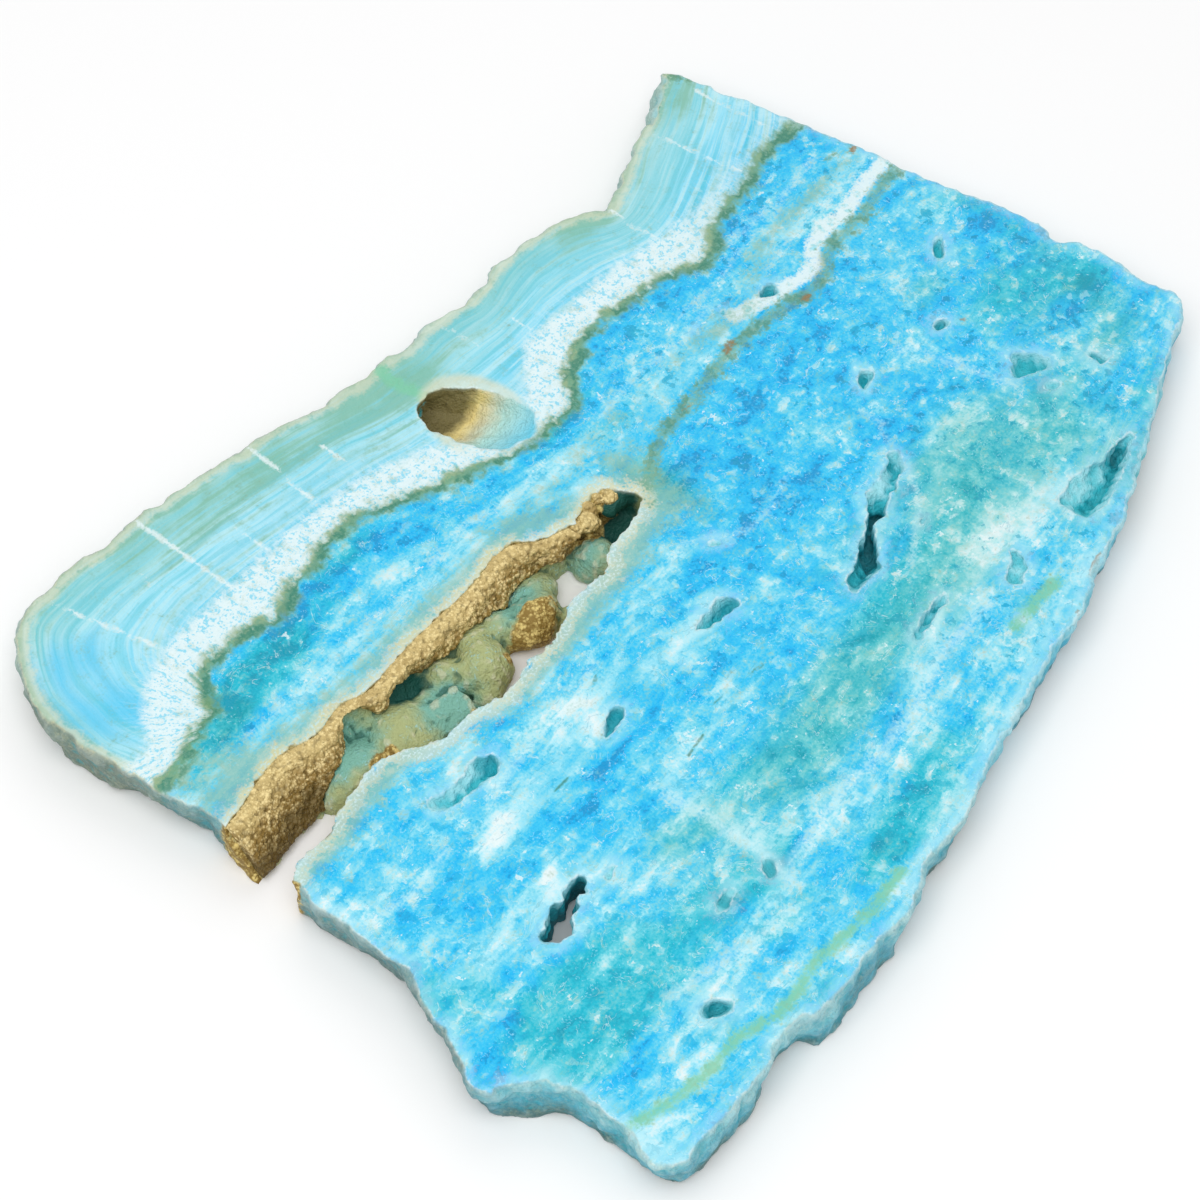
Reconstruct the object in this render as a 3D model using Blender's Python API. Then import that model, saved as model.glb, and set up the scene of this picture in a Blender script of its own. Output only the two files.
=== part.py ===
"""A slab of blue banded aragonite, sawn about 10 mm thick and polished on its upper face.

Two bodies: the slab, with its hollows and the green lumps that grew in the long hollow,
and the golden crystal crust that lines the far wall of that hollow.

Lengths below are in millimetres, on a drawing of the polished face: X runs along the
strata, Y towards the lobed growth rim, Z up from the sawn underside. MIDDLE moves the
drawing so that the slab stands centred over the origin. The objects are in metres.
"""

import math

import bmesh
import bpy
from mathutils import Matrix, Vector, noise

MM = 0.001
THICKNESS = 10.0
MIDDLE = (0.82, 4.21)
SPARE = 2.0  # how far cutters pass a face they open, and how much is trimmed off below
GAP = 0.3  # between the crust and the stone
WELD = 0.03  # points closer than this become one
NOISE_SPAN = 1.6  # brings the noise to about -1 to 1
TRIM_BLOCK = (300, 300, 20)

# The edge of the slab, at its widest

FAR_RIM = (
    (-92.3, 70.3), (-90.2, 73.6), (-88.2, 76.2), (-86, 78.5), (-84, 80.3), (-81, 81.3),
    (-78, 81.9), (-76.5, 81.3), (-73.5, 82), (-70, 82), (-66, 81.3), (-62, 80),
    (-60, 80.5), (-57, 80.2), (-55, 80.6), (-52, 80.4), (-50, 79.3), (-46, 79.1),
    (-42, 78.4), (-38, 77.6), (-34.5, 77), (-31.3, 75.8), (-29, 76), (-25, 75),
    (-22, 74.3), (-19.5, 73), (-15, 71.6), (-13, 71.7), (-9, 71), (-6, 70.2),
    (-1, 70.4), (1, 70.2), (3, 69), (5, 68.3), (8, 68.7), (11, 69.1), (13, 68.6),
    (16, 68.4), (19.5, 67), (23, 67.4), (25.5, 67.2), (28, 68.4), (30, 68.8),
    (34, 68.3), (37, 68.3), (41, 67.4), (45, 66.8), (48, 65.5), (50.5, 64.2),
    (52.5, 62.8), (53.8, 61.2), (55, 61.6), (57, 62.5), (60.3, 63.2), (62, 64.8),
    (65, 65.6), (68, 66.2), (70, 67.8), (73.5, 68.8), (76, 69.4), (80, 71.9),
    (83.5, 74), (86, 75), (87.8, 74.8),
)
RIGHT_EDGE = (
    (89.5, 72.5), (90.3, 70), (90.2, 68), (91, 65.5), (91.2, 62.5), (92, 61),
    (92.8, 58), (93.3, 54), (94, 49.5), (94.6, 45.5), (95.2, 41), (95.8, 37.5),
    (96.6, 31.5), (97.3, 26), (97.9, 20), (99.2, 13.5), (99.8, 10.5), (100.6, 6),
    (101.3, 2), (102.1, -4), (101.9, -6), (100.8, -7.5), (100.6, -9.2), (101.3, -10.2),
    (103, -12), (103.5, -15), (103.8, -18), (103.1, -23), (102.7, -26), (103.2, -29),
    (104, -33.5), (103.4, -35.6),
)
# The third number says how far the foot of the wall stands out from its widest line.
NEAR_EDGE = (
    (101.5, -36.8, -1), (95, -39.2, -1), (90, -41.3, -1.2), (85, -43.4, -1),
    (80, -45.3, -1.3), (75, -47.4, -1), (70, -49.3, -1), (65, -51.1, -1.2),
    (60, -53, -1), (55, -54.7, -1), (50, -56, -1), (46, -56.7, -1.2), (41, -58.2, -2),
    (35, -60.4, -2.4), (30, -61, -1.9), (24, -61.5, -0.9), (19, -62.3, -0.6),
    (14, -63.2, -1), (8, -64.3, -1.9), (3, -65.3, -1.8), (-3, -66.6, -1.6),
    (-9, -68.3, -1.9), (-14, -69.4, -2), (-17, -69.6, -1.8), (-21, -69.1, -0.9),
    (-24.5, -69, -0.9), (-26.8, -70.5, -1.6), (-30, -72.1, -1.6), (-33, -72.7, -1.1),
    (-37, -72.3, 0), (-41, -71.9, 0.6), (-48, -72.6, 0.5), (-54, -72.7, 0.8),
    (-57.8, -72, 0.8), (-59.3, -71.5, -1.6), (-63, -70.7, -1.6), (-66, -70.2, -2),
    (-68.3, -71, -2), (-70, -71.9, -0.8), (-74, -72.2, -0.5), (-80, -72.2, -0.4),
    (-86, -72.2, -0.5), (-90.5, -72, -1.2),
)
LEFT_EDGE = (
    (-93.2, -71, -2.4), (-94.8, -68, -3), (-93.8, -64.5, -1.8), (-92.7, -61.5, -0.8),
    (-92.7, -57, -0.5), (-92.6, -52, -0.2), (-92.9, -49.5, -0.2), (-94, -47.6, 0.3),
    (-95.6, -45.2, 1.4), (-97.8, -42.5, 1), (-101.2, -41.2, -1.4), (-102.5, -38.7, -3),
    (-102.1, -36.2, -2.6), (-100.6, -34.4, -1.6), (-99.3, -31, -1.6), (-97.2, -28, -2.2),
    (-97.2, -25, -2.2), (-96.2, -22.3, -2), (-94.7, -19.7, -1.2), (-93.4, -17.3, -0.9),
    (-92.7, -15.6, -1.8), (-93.4, -12, -3), (-93.5, -8, -2.8), (-93.1, -3, -2),
    (-93.3, 1, -1.6), (-93.3, 4.5, -1), (-92.6, 7, -0.4), (-92, 9, 0),
    (-92, 13, 0), (-92.8, 18, 0), (-92.5, 22, 0), (-91.4, 26.5, -0.9),
    (-91.6, 30, -2.2), (-92.8, 33.3, -2.8), (-93.6, 36.5, -3.2), (-93.8, 40, -2.8),
    (-94.1, 44, -2.6), (-94.6, 48, -1.8), (-95, 52, -0.6), (-95.3, 56, -1.4),
    (-95.6, 60, -1.4), (-95.2, 63.5, -1.4), (-94, 67, -1.6),
)
FAR_LEAN = -0.8
LONGEST_SIDE = 5.0  # of one facet along the edge

# Height of each line round the wall, how far in it lies, its share of the lean, roughness
WALL_LINES = (
    (THICKNESS, -0.75, 0.0, 0.12),
    (9.35, -0.1, 0.0, 0.15),
    (6.4, 0.0, 0.2, 0.4),
    (3.2, -0.1, 0.6, 0.55),
    (0.7, 0.0, 1.0, 0.45),
    (-SPARE, -0.8, 1.0, 0.3),
)
WALL_GRAIN = 5.5
WALL_GRAIN_SQUASH = 2.2  # the grain is this much longer than it is high

# Broken corners: middle of the facet, direction it faces from +X, its rise above level, length
CHIPS = (
    ((81.5, 70.2, 9.6), 117, 42, 13.0),
    ((-95.2, 55.5, 9.0), 180, 48, 13.0),
    ((-97.8, -44.6, 7.6), 226, 38, 8.5),
    ((-63, -70.9, 8.4), 268, 40, 9.0),
    ((-84, -72.1, 9.1), 270, 42, 12.0),
    ((43, -57.4, 8.9), 287, 40, 6.0),
)
CHIP_REACH = 8.0

# The long hollow: its edge on the polished face on the rim side and on the near side

FAR_LIP = (
    (-99, 24.5), (-90.3, 25), (-86, 25.6), (-82, 26.8), (-76, 27.6), (-73.5, 27),
    (-71, 26), (-68.5, 25.3), (-66, 25.5), (-64, 26.2), (-61.5, 26.3), (-59.5, 25.8),
    (-58, 24.8), (-55, 24.3), (-52, 24.8), (-47, 25.2), (-43, 25.3), (-37, 25.2),
    (-32, 24.9), (-26, 25.1), (-22, 26), (-19, 25.6), (-17, 25.2), (-15, 22.8),
    (-13, 21.4), (-10.5, 20.6), (-8.5, 19.7), (-6, 19.4), (-3.5, 20.5), (-1, 21.3),
    (1, 21.2), (3.5, 19), (4.9, 15.5),
)
NEAR_LIP = (
    (-99, 8.2), (-92, 9.5), (-89, 11.3), (-84, 11), (-80, 11.5), (-75, 13), (-70, 13.7),
    (-65.5, 13.7), (-61.5, 12.3), (-58.8, 10.5), (-57.3, 9), (-54.5, 8.1), (-52.5, 8.6),
    (-50.5, 8.5), (-46.5, 7.6), (-45, 6.8), (-41.5, 6), (-37.5, 6.3), (-35.5, 7.1),
    (-33.5, 7.1), (-30, 6.3), (-27, 7), (-24, 8), (-19.5, 9.5), (-13, 9.3), (-12, 8.6),
    (-10.5, 9.3), (-7, 11.2), (-5.5, 11.8), (-1.5, 11.7), (1, 12.3), (3.5, 12.7),
    (4.9, 13.4),
)
# How far the far wall comes forward between its lip and the underside
FAR_RUN = (
    (-99, 6.6), (-90, 7.2), (-84, 8.2), (-78, 9), (-72, 8.4), (-66, 7), (-58, 6.4),
    (-40, 6.4), (-20, 5.8), (-12, 3), (-8, 1.4), (-4, -0.6), (4.9, -0.6),
)
# Height of the hollow's floor, below the underside where it goes right through
HOLLOW_FLOOR = (
    (-99, -3), (-75.5, -3), (-73, 1.2), (-38, 1), (-35.5, -3), (-10, -3), (-7.5, 1.4),
    (-2, 1.8), (4.9, 4),
)
STATION = 2.4
NEAR_UNDERCUT = ((0, 0.0), (1.6, -0.5), (3.6, -1.2), (6, -1.6), (8.2, -1.3), (10, -0.9))
NEAR_ROUGHNESS = 0.4
NEAR_GRAIN = 3.5
WALL_WAVE = 0.35
WALL_WAVE_LENGTH = 11.0
WAVE_START = 3.0  # depth at which the far wall's wave is full
FLOOR_DISH = 0.6
FLOOR_TUCK = 0.2

# Green lumps in the long hollow: middle, half sizes, and how finely each is faceted
LUMPS = (
    ((-56.6, 15.9, 0.4), (8.2, 8.2, 6.8), 3),
    ((-66.5, 18.2, 0), (8.6, 6.6, 6.6), 3),
    ((-37.3, 15.6, 2.6), (6, 5.2, 5.2), 3),
    ((-42.2, 19.6, 1.8), (4.6, 3.8, 4.4), 2),
    ((-34.4, 19.6, 2.2), (4.8, 4, 4.2), 2),
    ((-48.4, 18, 1), (4.6, 3.4, 4), 2),
    ((-24, 15, 3.2), (6.2, 4.5, 4.3), 3),
    ((-28.6, 18.4, 1.4), (4.8, 4.2, 4.6), 2),
    ((-20, 18.8, 1.6), (5.6, 4, 4), 2),
    ((-6.4, 15, 1.5), (4.4, 5, 4.6), 3),
    ((-3.4, 19.3, 7), (2.3, 2.2, 2.1), 2),
    ((-0.8, 21.1, 8), (3.1, 1.7, 1.8), 2),
    ((2.8, 18.2, 6.9), (3.1, 2.3, 2.5), 2),
    ((-18.6, 10.6, 2.4), (2.8, 2.2, 2), 2),
    ((-39.8, 11.4, 1.6), (3.6, 2.6, 3.2), 2),
)
LUMP_GRAIN = 4.5
LUMP_ROUGHNESS = 0.12
LUMP_NOISE_REACH = 3.0

# The smooth broken block among the lumps: middle, size, turn and tilt in degrees
BLOCK = ((-47.6, 13.3, 3), (6.8, 6.8, 6.2), (18, -9, -8))
BLOCK_EDGE = 0.7

# The crust: how far down the far wall it reaches
CRUST_DEPTH = (
    (-91.2, 9.2), (-71, 9.4), (-69.8, 7.8), (-66.8, 5.8), (-64.8, 3.5), (-64, 1.3),
    (-58.5, 1.3), (-57, 4.2), (-53.6, 2.6), (-50.8, 2.2), (-48.3, 3.2), (-45.4, 4.7),
    (-42.5, 4.5), (-38.1, 5.4), (-33.4, 4.7), (-31.1, 5.3), (-29, 6.4), (-28, 8.2),
    (-26.3, 8.6), (-24.9, 7.5), (-21.6, 8.1), (-18.9, 7.6), (-16.4, 6.6), (-15.4, 4.2),
    (-13.3, 5), (-11.9, 5.7), (-10.3, 4.9), (-9.6, 2.3), (-8.4, 1.1),
)
CRUST_TOP = 0.1
CRUST_BELOW_FACE = 0.05
CRUST_SWELL = (0.15, 0.95)  # the part of a half wave that its thickness follows
CRUST_CLEARANCE = 0.4
CRUST_COLUMN = 1.9
CRUST_ROWS = 6
CRUST_EDGE = 0.5
CRUST_BODY = 1.1
CRUST_BUMP = 0.75
CRUST_GRAIN = 1.7
CRUST_OFF_WALL = 0.42

# Pits and slits of the polished face: edge, depth, drift of the floor, floor size
EYE = (
    ((-1, 58.3), (1.5, 57), (3, 55.5), (4.5, 53.3), (6.5, 49.5), (7.8, 46.5), (8.2, 43),
     (8.3, 40.5), (6.5, 38.5), (3.5, 37), (1, 38), (-1, 38.3), (-3, 40), (-4.5, 42.5),
     (-5.7, 46), (-6.6, 50), (-7.3, 53), (-6.2, 55.7), (-4.2, 57.5)),
    6.6, (-1.6, 7.2), 0.42,
)
OPEN_HOLE = (
    ((-75.3, -29), (-72.5, -28.3), (-69, -26.6), (-67.5, -27.5), (-64.5, -26.3),
     (-61.3, -26.4), (-61.2, -27.7), (-63.5, -29.5), (-65.2, -28.4), (-67, -30.2),
     (-69, -30.8), (-69.5, -32.2), (-71.5, -32.4), (-73.5, -31.7), (-75.3, -30)),
    THICKNESS + SPARE, (2.6, 2), 0.8,
)
PITS = (
    (((-68, 1.5), (-66, 2), (-60, 0.5), (-57.5, 1.4), (-54.5, 1), (-52.5, -0.5),
      (-53, -2), (-54.5, -3.5), (-58.5, -3), (-64, -2), (-66.5, -1.2), (-68, -0.2)),
     3.6, (2.5, 0.4), 0.5),
    (((-42, -12.5), (-38, -12), (-35.5, -10.8), (-32.5, -10.3), (-31, -11.5),
      (-33, -12.8), (-37, -13.4)), 2.6, (0.6, 0.4), 0.55),
    (((-12, -11.3), (-10, -10.2), (-7, -10), (-3.5, -10.3), (-2, -13), (-1.5, -13.9),
      (-4, -13.9), (-8, -12.9)), 3.4, (1, 0.5), 0.5),
    (((-61, -31.2), (-59.5, -30.1), (-57, -29), (-56.4, -30), (-58.5, -31)),
     2.2, (0.3, 0.2), 0.5),
    (((-51, -26.8), (-50, -25.9), (-49, -26.2), (-49.6, -27.2)), 1.6, (0, 0), 0.6),
    (((11.5, -26.8), (13, -25.3), (16.5, -24.3), (20, -22.5), (25.5, -21), (28, -19),
      (30.5, -17), (33, -16.3), (38.5, -15.6), (40, -14.3), (41.5, -14.2), (42, -15.2),
      (40, -18), (37.5, -18.8), (35, -19.8), (32.5, -20.1), (29.5, -22), (26, -21.9),
      (24.5, -23.2), (22.5, -25), (19, -28.1), (16, -27.9), (12, -28.2)),
     6.5, (0.8, 0.9), 0.6),
    (((10, -42.5), (11, -41.2), (15.5, -39.8), (18, -39.4), (22.5, -39.9), (21, -41.4),
      (17, -41), (13, -42), (11, -43)), 2.8, (0.4, 0.6), 0.55),
    (((30, -46.7), (34, -45.3), (37.5, -43), (36.5, -47.2), (33, -48.8), (31.5, -49.2)),
     3.2, (0.6, 0.6), 0.5),
    (((49.7, -43.7), (53, -43.4), (57, -43), (60, -44), (63, -45), (66, -44.8),
      (71, -44.8), (72, -45.3), (70.5, -46.5), (65.5, -48.4), (61, -50), (55, -50.9),
      (51.5, -50.4), (50.2, -49.6), (50, -46)), 5, (1, 1.6), 0.55),
    (((49, -0.5), (52.8, 0.8), (53.5, -0.5), (53, -2), (49, -2.2)), 3, (0.3, 0.4), 0.55),
    (((67.5, -3.2), (70.7, -3), (73, -5.2), (69.5, -5.3)), 2.8, (0.5, 0.3), 0.55),
    (((83.9, 7.5), (87, 9.3), (87.6, 8), (85, 5.8), (82.2, 4.2), (82.6, 5.8)),
     2.4, (0.3, 0.3), 0.55),
    (((54, 25.5), (56.5, 27), (58.5, 26), (58.7, 24.8), (57.8, 23.1), (55.2, 24.3)),
     3.2, (0.4, 0.5), 0.55),
    (((68.3, -22), (69, -20.5), (73.5, -18.2), (76, -22), (76.5, -24.5), (75, -25.8),
      (70.5, -23.3)), 2.8, (0.6, 0.5), 0.5),
    (((81.3, -28.5), (82.4, -28.2), (83, -31.4), (85.5, -33.2), (82.5, -32.6),
      (80.6, -32.5), (81.2, -31)), 2.6, (0.3, 0.3), 0.55),
    (((-70, -58.2), (-67.8, -56.7), (-65.5, -57.7), (-64.4, -60.5), (-65.2, -61.1),
      (-67.5, -60.5)), 3.6, (0.5, 0.5), 0.55),
    (((-54.5, -48.6), (-51.5, -46.8), (-47, -47), (-47.8, -48.6), (-51, -49.4)),
     1.0, (0, 0), 0.6),
    (((-43.2, -50.6), (-41, -47.6), (-39, -47.8), (-39.6, -50.4), (-42, -51.6)),
     1.2, (0, 0), 0.6),
)
# Share of a pit's depth, of its shrinking towards the floor size, and of its drift
PIT_LINES = ((0.0, 0.0, 0.0), (0.3, 0.25, 0.3), (0.7, 0.6, 0.7), (1.0, 1.0, 1.0))
PIT_ROUGHNESS = 0.35
PIT_GRAIN = 2.3

SKY_BLUE = (0.18, 0.62, 0.83, 1.0)
HONEY = (0.62, 0.44, 0.18, 1.0)


def clear_scene():
    for thing in list(bpy.data.objects):
        bpy.data.objects.remove(thing)


def stone_material(name, colour, roughness):
    material = bpy.data.materials.new(name)
    material.use_nodes = True
    surface = material.node_tree.nodes["Principled BSDF"]
    surface.inputs["Base Color"].default_value = colour
    surface.inputs["Roughness"].default_value = roughness
    surface.inputs["Metallic"].default_value = 0.0
    material.diffuse_color = colour
    return material


def value_at(table, x):
    """Reads a table of (x, value) pairs, going straight from one pair to the next."""
    for (x0, v0), (x1, v1) in zip(table, table[1:]):
        if x <= x1:
            return v0 + (v1 - v0) * max(0.0, (x - x0) / (x1 - x0))
    return table[-1][1]


def roughness_at(x, y, z, grain):
    """Smooth noise from about -1 to 1 whose lumps are about one grain long."""
    return NOISE_SPAN * noise.noise(Vector((x, y, z)) / grain)


def placed(x, y, z):
    return Vector((x - MIDDLE[0], y - MIDDLE[1], z)) * MM


def grow(bm, cap, ring):
    """Extrudes a cap face and moves the new cap onto the next ring of points."""
    fresh = bmesh.ops.extrude_face_region(bm, geom=[cap])["geom"]
    (new_cap,) = [part for part in fresh if isinstance(part, bmesh.types.BMFace)]
    for loop, point in zip(new_cap.loops, ring):
        loop.vert.co = point
    return new_cap


def loft(bm, rings):
    """A closed skin through rings that all have the same number of points."""
    lid = bm.faces.new([bm.verts.new(point) for point in rings[0]])
    cap = grow(bm, lid, rings[1])
    for ring in rings[2:]:
        outgrown = cap
        cap = grow(bm, cap, ring)
        bmesh.ops.delete(bm, geom=[outgrown], context="FACES_ONLY")


def finish(bm, name, material=None):
    bmesh.ops.triangulate(bm, faces=bm.faces[:])
    bmesh.ops.recalc_face_normals(bm, faces=bm.faces[:])
    mesh = bpy.data.meshes.new(name)
    bm.to_mesh(mesh)
    bm.free()
    thing = bpy.data.objects.new(name, mesh)
    bpy.context.scene.collection.objects.link(thing)
    if material:
        mesh.materials.append(material)
    else:
        thing.hide_render = True
        thing.display_type = "WIRE"
    return thing


def combine(target, operation, tool):
    step = target.modifiers.new(tool.name, "BOOLEAN")
    step.operation = operation
    step.solver = "EXACT"
    step.object = tool
    return step


def weld(target):
    step = target.modifiers.new("weld", "WELD")
    step.merge_threshold = WELD * MM


def edge_points():
    """The outline with its long sides divided, as (x, y, lean)."""
    corners = [(x, y, FAR_LEAN) for x, y in FAR_RIM + RIGHT_EDGE]
    corners += NEAR_EDGE + LEFT_EDGE
    points = []
    for start, end in zip(corners, corners[1:] + corners[:1]):
        side = math.dist(start[:2], end[:2])
        steps = math.ceil(side / LONGEST_SIDE)
        for step in range(steps):
            share = step / steps
            points.append(tuple(a + (b - a) * share for a, b in zip(start, end)))
    return points


def outward(points, index):
    """The direction that faces out of a clockwise outline at one of its points."""
    before = points[index - 1]
    after = points[(index + 1) % len(points)]
    along = Vector((after[0] - before[0], after[1] - before[1], 0)).normalized()
    return Vector((-along.y, along.x, 0))


def wall_ring(points, height, inset, lean_share, roughness):
    ring = []
    for index, (x, y, lean) in enumerate(points):
        bump = roughness * roughness_at(x, y, WALL_GRAIN_SQUASH * height, WALL_GRAIN)
        out = inset + lean * lean_share + bump
        ring.append(placed(x, y, height) + outward(points, index) * out * MM)
    return ring


def slab_body(material):
    points = edge_points()
    bm = bmesh.new()
    loft(bm, [wall_ring(points, *line) for line in WALL_LINES])
    return finish(bm, "slab", material)


def far_wall(x, depth):
    """Where the far wall of the long hollow lies, as y, at a depth below the face."""
    lean = value_at(FAR_RUN, x) * depth / THICKNESS
    wave = WALL_WAVE * roughness_at(x, 0, depth, WALL_WAVE_LENGTH)
    return value_at(FAR_LIP, x) - lean - wave * min(1.0, depth / WAVE_START)


def hollow_section(x):
    """One cross-section of the long hollow, down its far wall and up its near wall."""
    floor = value_at(HOLLOW_FLOOR, x)
    lip = value_at(NEAR_LIP, x)
    far = [(far_wall(x, 0), THICKNESS + SPARE)]
    near = [(lip, THICKNESS + SPARE)]
    for depth, undercut in NEAR_UNDERCUT:
        height = max(THICKNESS - depth, floor)
        depth = THICKNESS - height
        far.append((far_wall(x, depth), height))
        rough = NEAR_ROUGHNESS * roughness_at(x, lip, depth, NEAR_GRAIN)
        near.append((lip + undercut + rough * min(1, depth), height))
    bottom = min(floor, -SPARE) if floor < 0 else floor - FLOOR_DISH
    far.append((far[-1][0] - FLOOR_TUCK, bottom))
    near.append((near[-1][0] + FLOOR_TUCK, bottom))
    return [placed(x, y, z) for y, z in far + near[::-1]]


def stations(start, end, spacing):
    count = round((end - start) / spacing)
    return [start + (end - start) * step / count for step in range(count + 1)]


def long_hollow():
    bm = bmesh.new()
    spots = stations(FAR_LIP[0][0], FAR_LIP[-1][0], STATION)
    loft(bm, [hollow_section(x) for x in spots])
    return finish(bm, "long_hollow")


def add_lump(bm, middle, half_sizes, fineness, extra=0.0):
    made = bmesh.ops.create_icosphere(bm, subdivisions=fineness, radius=1.0)["verts"]
    for vert in made:
        way = vert.co.normalized()
        spot = Vector(middle) + way * LUMP_NOISE_REACH
        rough = 1 + LUMP_ROUGHNESS * roughness_at(*spot, LUMP_GRAIN)
        shape = [w * (half * rough + extra) for w, half in zip(way, half_sizes)]
        vert.co = placed(*(a + b for a, b in zip(middle, shape)))


def add_block(bm):
    middle, size, angles = BLOCK
    made = bmesh.ops.create_cube(bm, size=1.0)["verts"]
    edges = {edge for vert in made for edge in vert.link_edges}
    sides = Matrix.Diagonal([side * MM for side in size]).to_4x4()
    turn = Matrix.Identity(4)
    for angle, axis in zip(angles, "XYZ"):
        turn = Matrix.Rotation(math.radians(angle), 4, axis) @ turn
    place = Matrix.Translation(placed(*middle))
    bmesh.ops.transform(bm, matrix=place @ turn @ sides, verts=made)
    bmesh.ops.bevel(
        bm, geom=list(edges), offset=BLOCK_EDGE * MM, segments=2, profile=0.5,
        affect="EDGES", material=-1,
    )


def lump_objects():
    """One closed lump each, for they overlap one another."""
    things = []
    for number, lump in enumerate(LUMPS, 1):
        bm = bmesh.new()
        add_lump(bm, *lump)
        things.append(finish(bm, f"lump_{number}"))
    bm = bmesh.new()
    add_block(bm)
    things.append(finish(bm, "block"))
    return things


def clearance_objects():
    """The lumps again, larger by the gap that the crust keeps to them."""
    things = []
    for number, lump in enumerate(LUMPS, 1):
        bm = bmesh.new()
        add_lump(bm, *lump, extra=CRUST_CLEARANCE)
        things.append(finish(bm, f"clear_{number}"))
    return things


def pit_ring(edge, height, shrink, drift):
    middle_x = sum(x for x, _ in edge) / len(edge)
    middle_y = sum(y for _, y in edge) / len(edge)
    ring = []
    for x, y in edge:
        rough = PIT_ROUGHNESS * roughness_at(x, y, height, PIT_GRAIN) * min(1, 4 * shrink)
        share = 1 - shrink + rough * shrink
        ring.append(placed(
            middle_x + (x - middle_x) * share + drift[0],
            middle_y + (y - middle_y) * share + drift[1],
            height,
        ))
    return ring


def add_pit(bm, edge, depth, drift, floor_size):
    rings = [pit_ring(edge, THICKNESS + SPARE, 0.0, (0, 0))]
    for down, narrowing, shift in PIT_LINES:
        shrink = (1 - floor_size) * narrowing
        moved = (drift[0] * shift, drift[1] * shift)
        rings.append(pit_ring(edge, THICKNESS - depth * down, shrink, moved))
    loft(bm, rings)


def pit_cutter():
    bm = bmesh.new()
    for pit in (EYE, OPEN_HOLE) + PITS:
        add_pit(bm, *pit)
    return finish(bm, "pits")


def chip_cutter(number, middle, facing, rise, length):
    """A box whose inner side takes a flat facet off the edge of the slab."""
    flat = math.radians(facing)
    up = math.radians(rise)
    out = Vector((
        math.cos(flat) * math.cos(up), math.sin(flat) * math.cos(up), math.sin(up),
    ))
    along = Vector((-math.sin(flat), math.cos(flat), 0))
    axes = Matrix((along, out.cross(along), out)).transposed().to_4x4()
    size = Matrix.Diagonal((length * MM, CHIP_REACH * MM, CHIP_REACH * MM)).to_4x4()
    place = Matrix.Translation(placed(*middle) + out * CHIP_REACH / 2 * MM)
    bm = bmesh.new()
    bmesh.ops.create_cube(bm, size=1.0, matrix=place @ axes @ size)
    return finish(bm, f"chip_{number}")


def trimmer():
    """A block below the slab, whose upper side is the sawn underside."""
    bm = bmesh.new()
    size = Matrix.Diagonal([side * MM for side in TRIM_BLOCK]).to_4x4()
    place = Matrix.Translation((0, 0, -TRIM_BLOCK[2] / 2 * MM))
    bmesh.ops.create_cube(bm, size=1.0, matrix=place @ size)
    return finish(bm, "underside")


def crust_ring(x):
    """One closed cross-section of the crust: down its back, then up its rough front."""
    reach = value_at(CRUST_DEPTH, x)
    slope = value_at(FAR_RUN, x) / THICKNESS
    facing = Vector((0, -1, slope)).normalized()
    back = []
    front = []
    for row in range(CRUST_ROWS + 1):
        share = row / CRUST_ROWS
        depth = CRUST_TOP + (reach - CRUST_TOP) * share
        wall = Vector((x, far_wall(x, depth), THICKNESS - depth))
        start, end = CRUST_SWELL
        swell = math.sin(math.pi * (start + (end - start) * share))
        bump = abs(roughness_at(*wall, CRUST_GRAIN))
        thick = CRUST_EDGE + CRUST_BODY * swell + CRUST_BUMP * bump
        back.append(wall + facing * CRUST_OFF_WALL)
        front.append(wall + facing * (CRUST_OFF_WALL + thick))
    for point in back + front:
        point.z = min(max(point.z, GAP), THICKNESS - CRUST_BELOW_FACE)
    return [placed(*point) for point in back + front[::-1]]


def crust(material):
    bm = bmesh.new()
    spots = stations(CRUST_DEPTH[0][0], CRUST_DEPTH[-1][0], CRUST_COLUMN)
    loft(bm, [crust_ring(x) for x in spots])
    return finish(bm, "vug_crust", material)


def main():
    clear_scene()
    slab = slab_body(stone_material("aragonite", SKY_BLUE, 0.2))
    combine(slab, "DIFFERENCE", long_hollow())
    for lump in lump_objects():
        combine(slab, "UNION", lump)
    combine(slab, "DIFFERENCE", pit_cutter())
    for number, chip in enumerate(CHIPS, 1):
        combine(slab, "DIFFERENCE", chip_cutter(number, *chip))
    combine(slab, "DIFFERENCE", trimmer())
    weld(slab)
    lining = crust(stone_material("honey_crust", HONEY, 0.7))
    for clearance in clearance_objects():
        combine(lining, "DIFFERENCE", clearance)
    weld(lining)


main()
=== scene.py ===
"""A polished slab of blue banded aragonite on a pale floor.

The slab's skin is grown from the CAD solid: its broken walls, pits and green lumps get their
grain, and its sawn faces stay flat. Every mark in the stone is a field that is stored on the
skin's own points and broken up by noise in the material.

Lengths in the tables are millimetres on a drawing of the polished face: X runs along the
strata, Y towards the lobed growth rim. MIDDLE moves the drawing onto the frame.
"""

import logging
import math
from dataclasses import dataclass
from enum import Enum

import bmesh
import bpy
import numpy as np
from mathutils import Matrix, Vector, kdtree, noise


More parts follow.
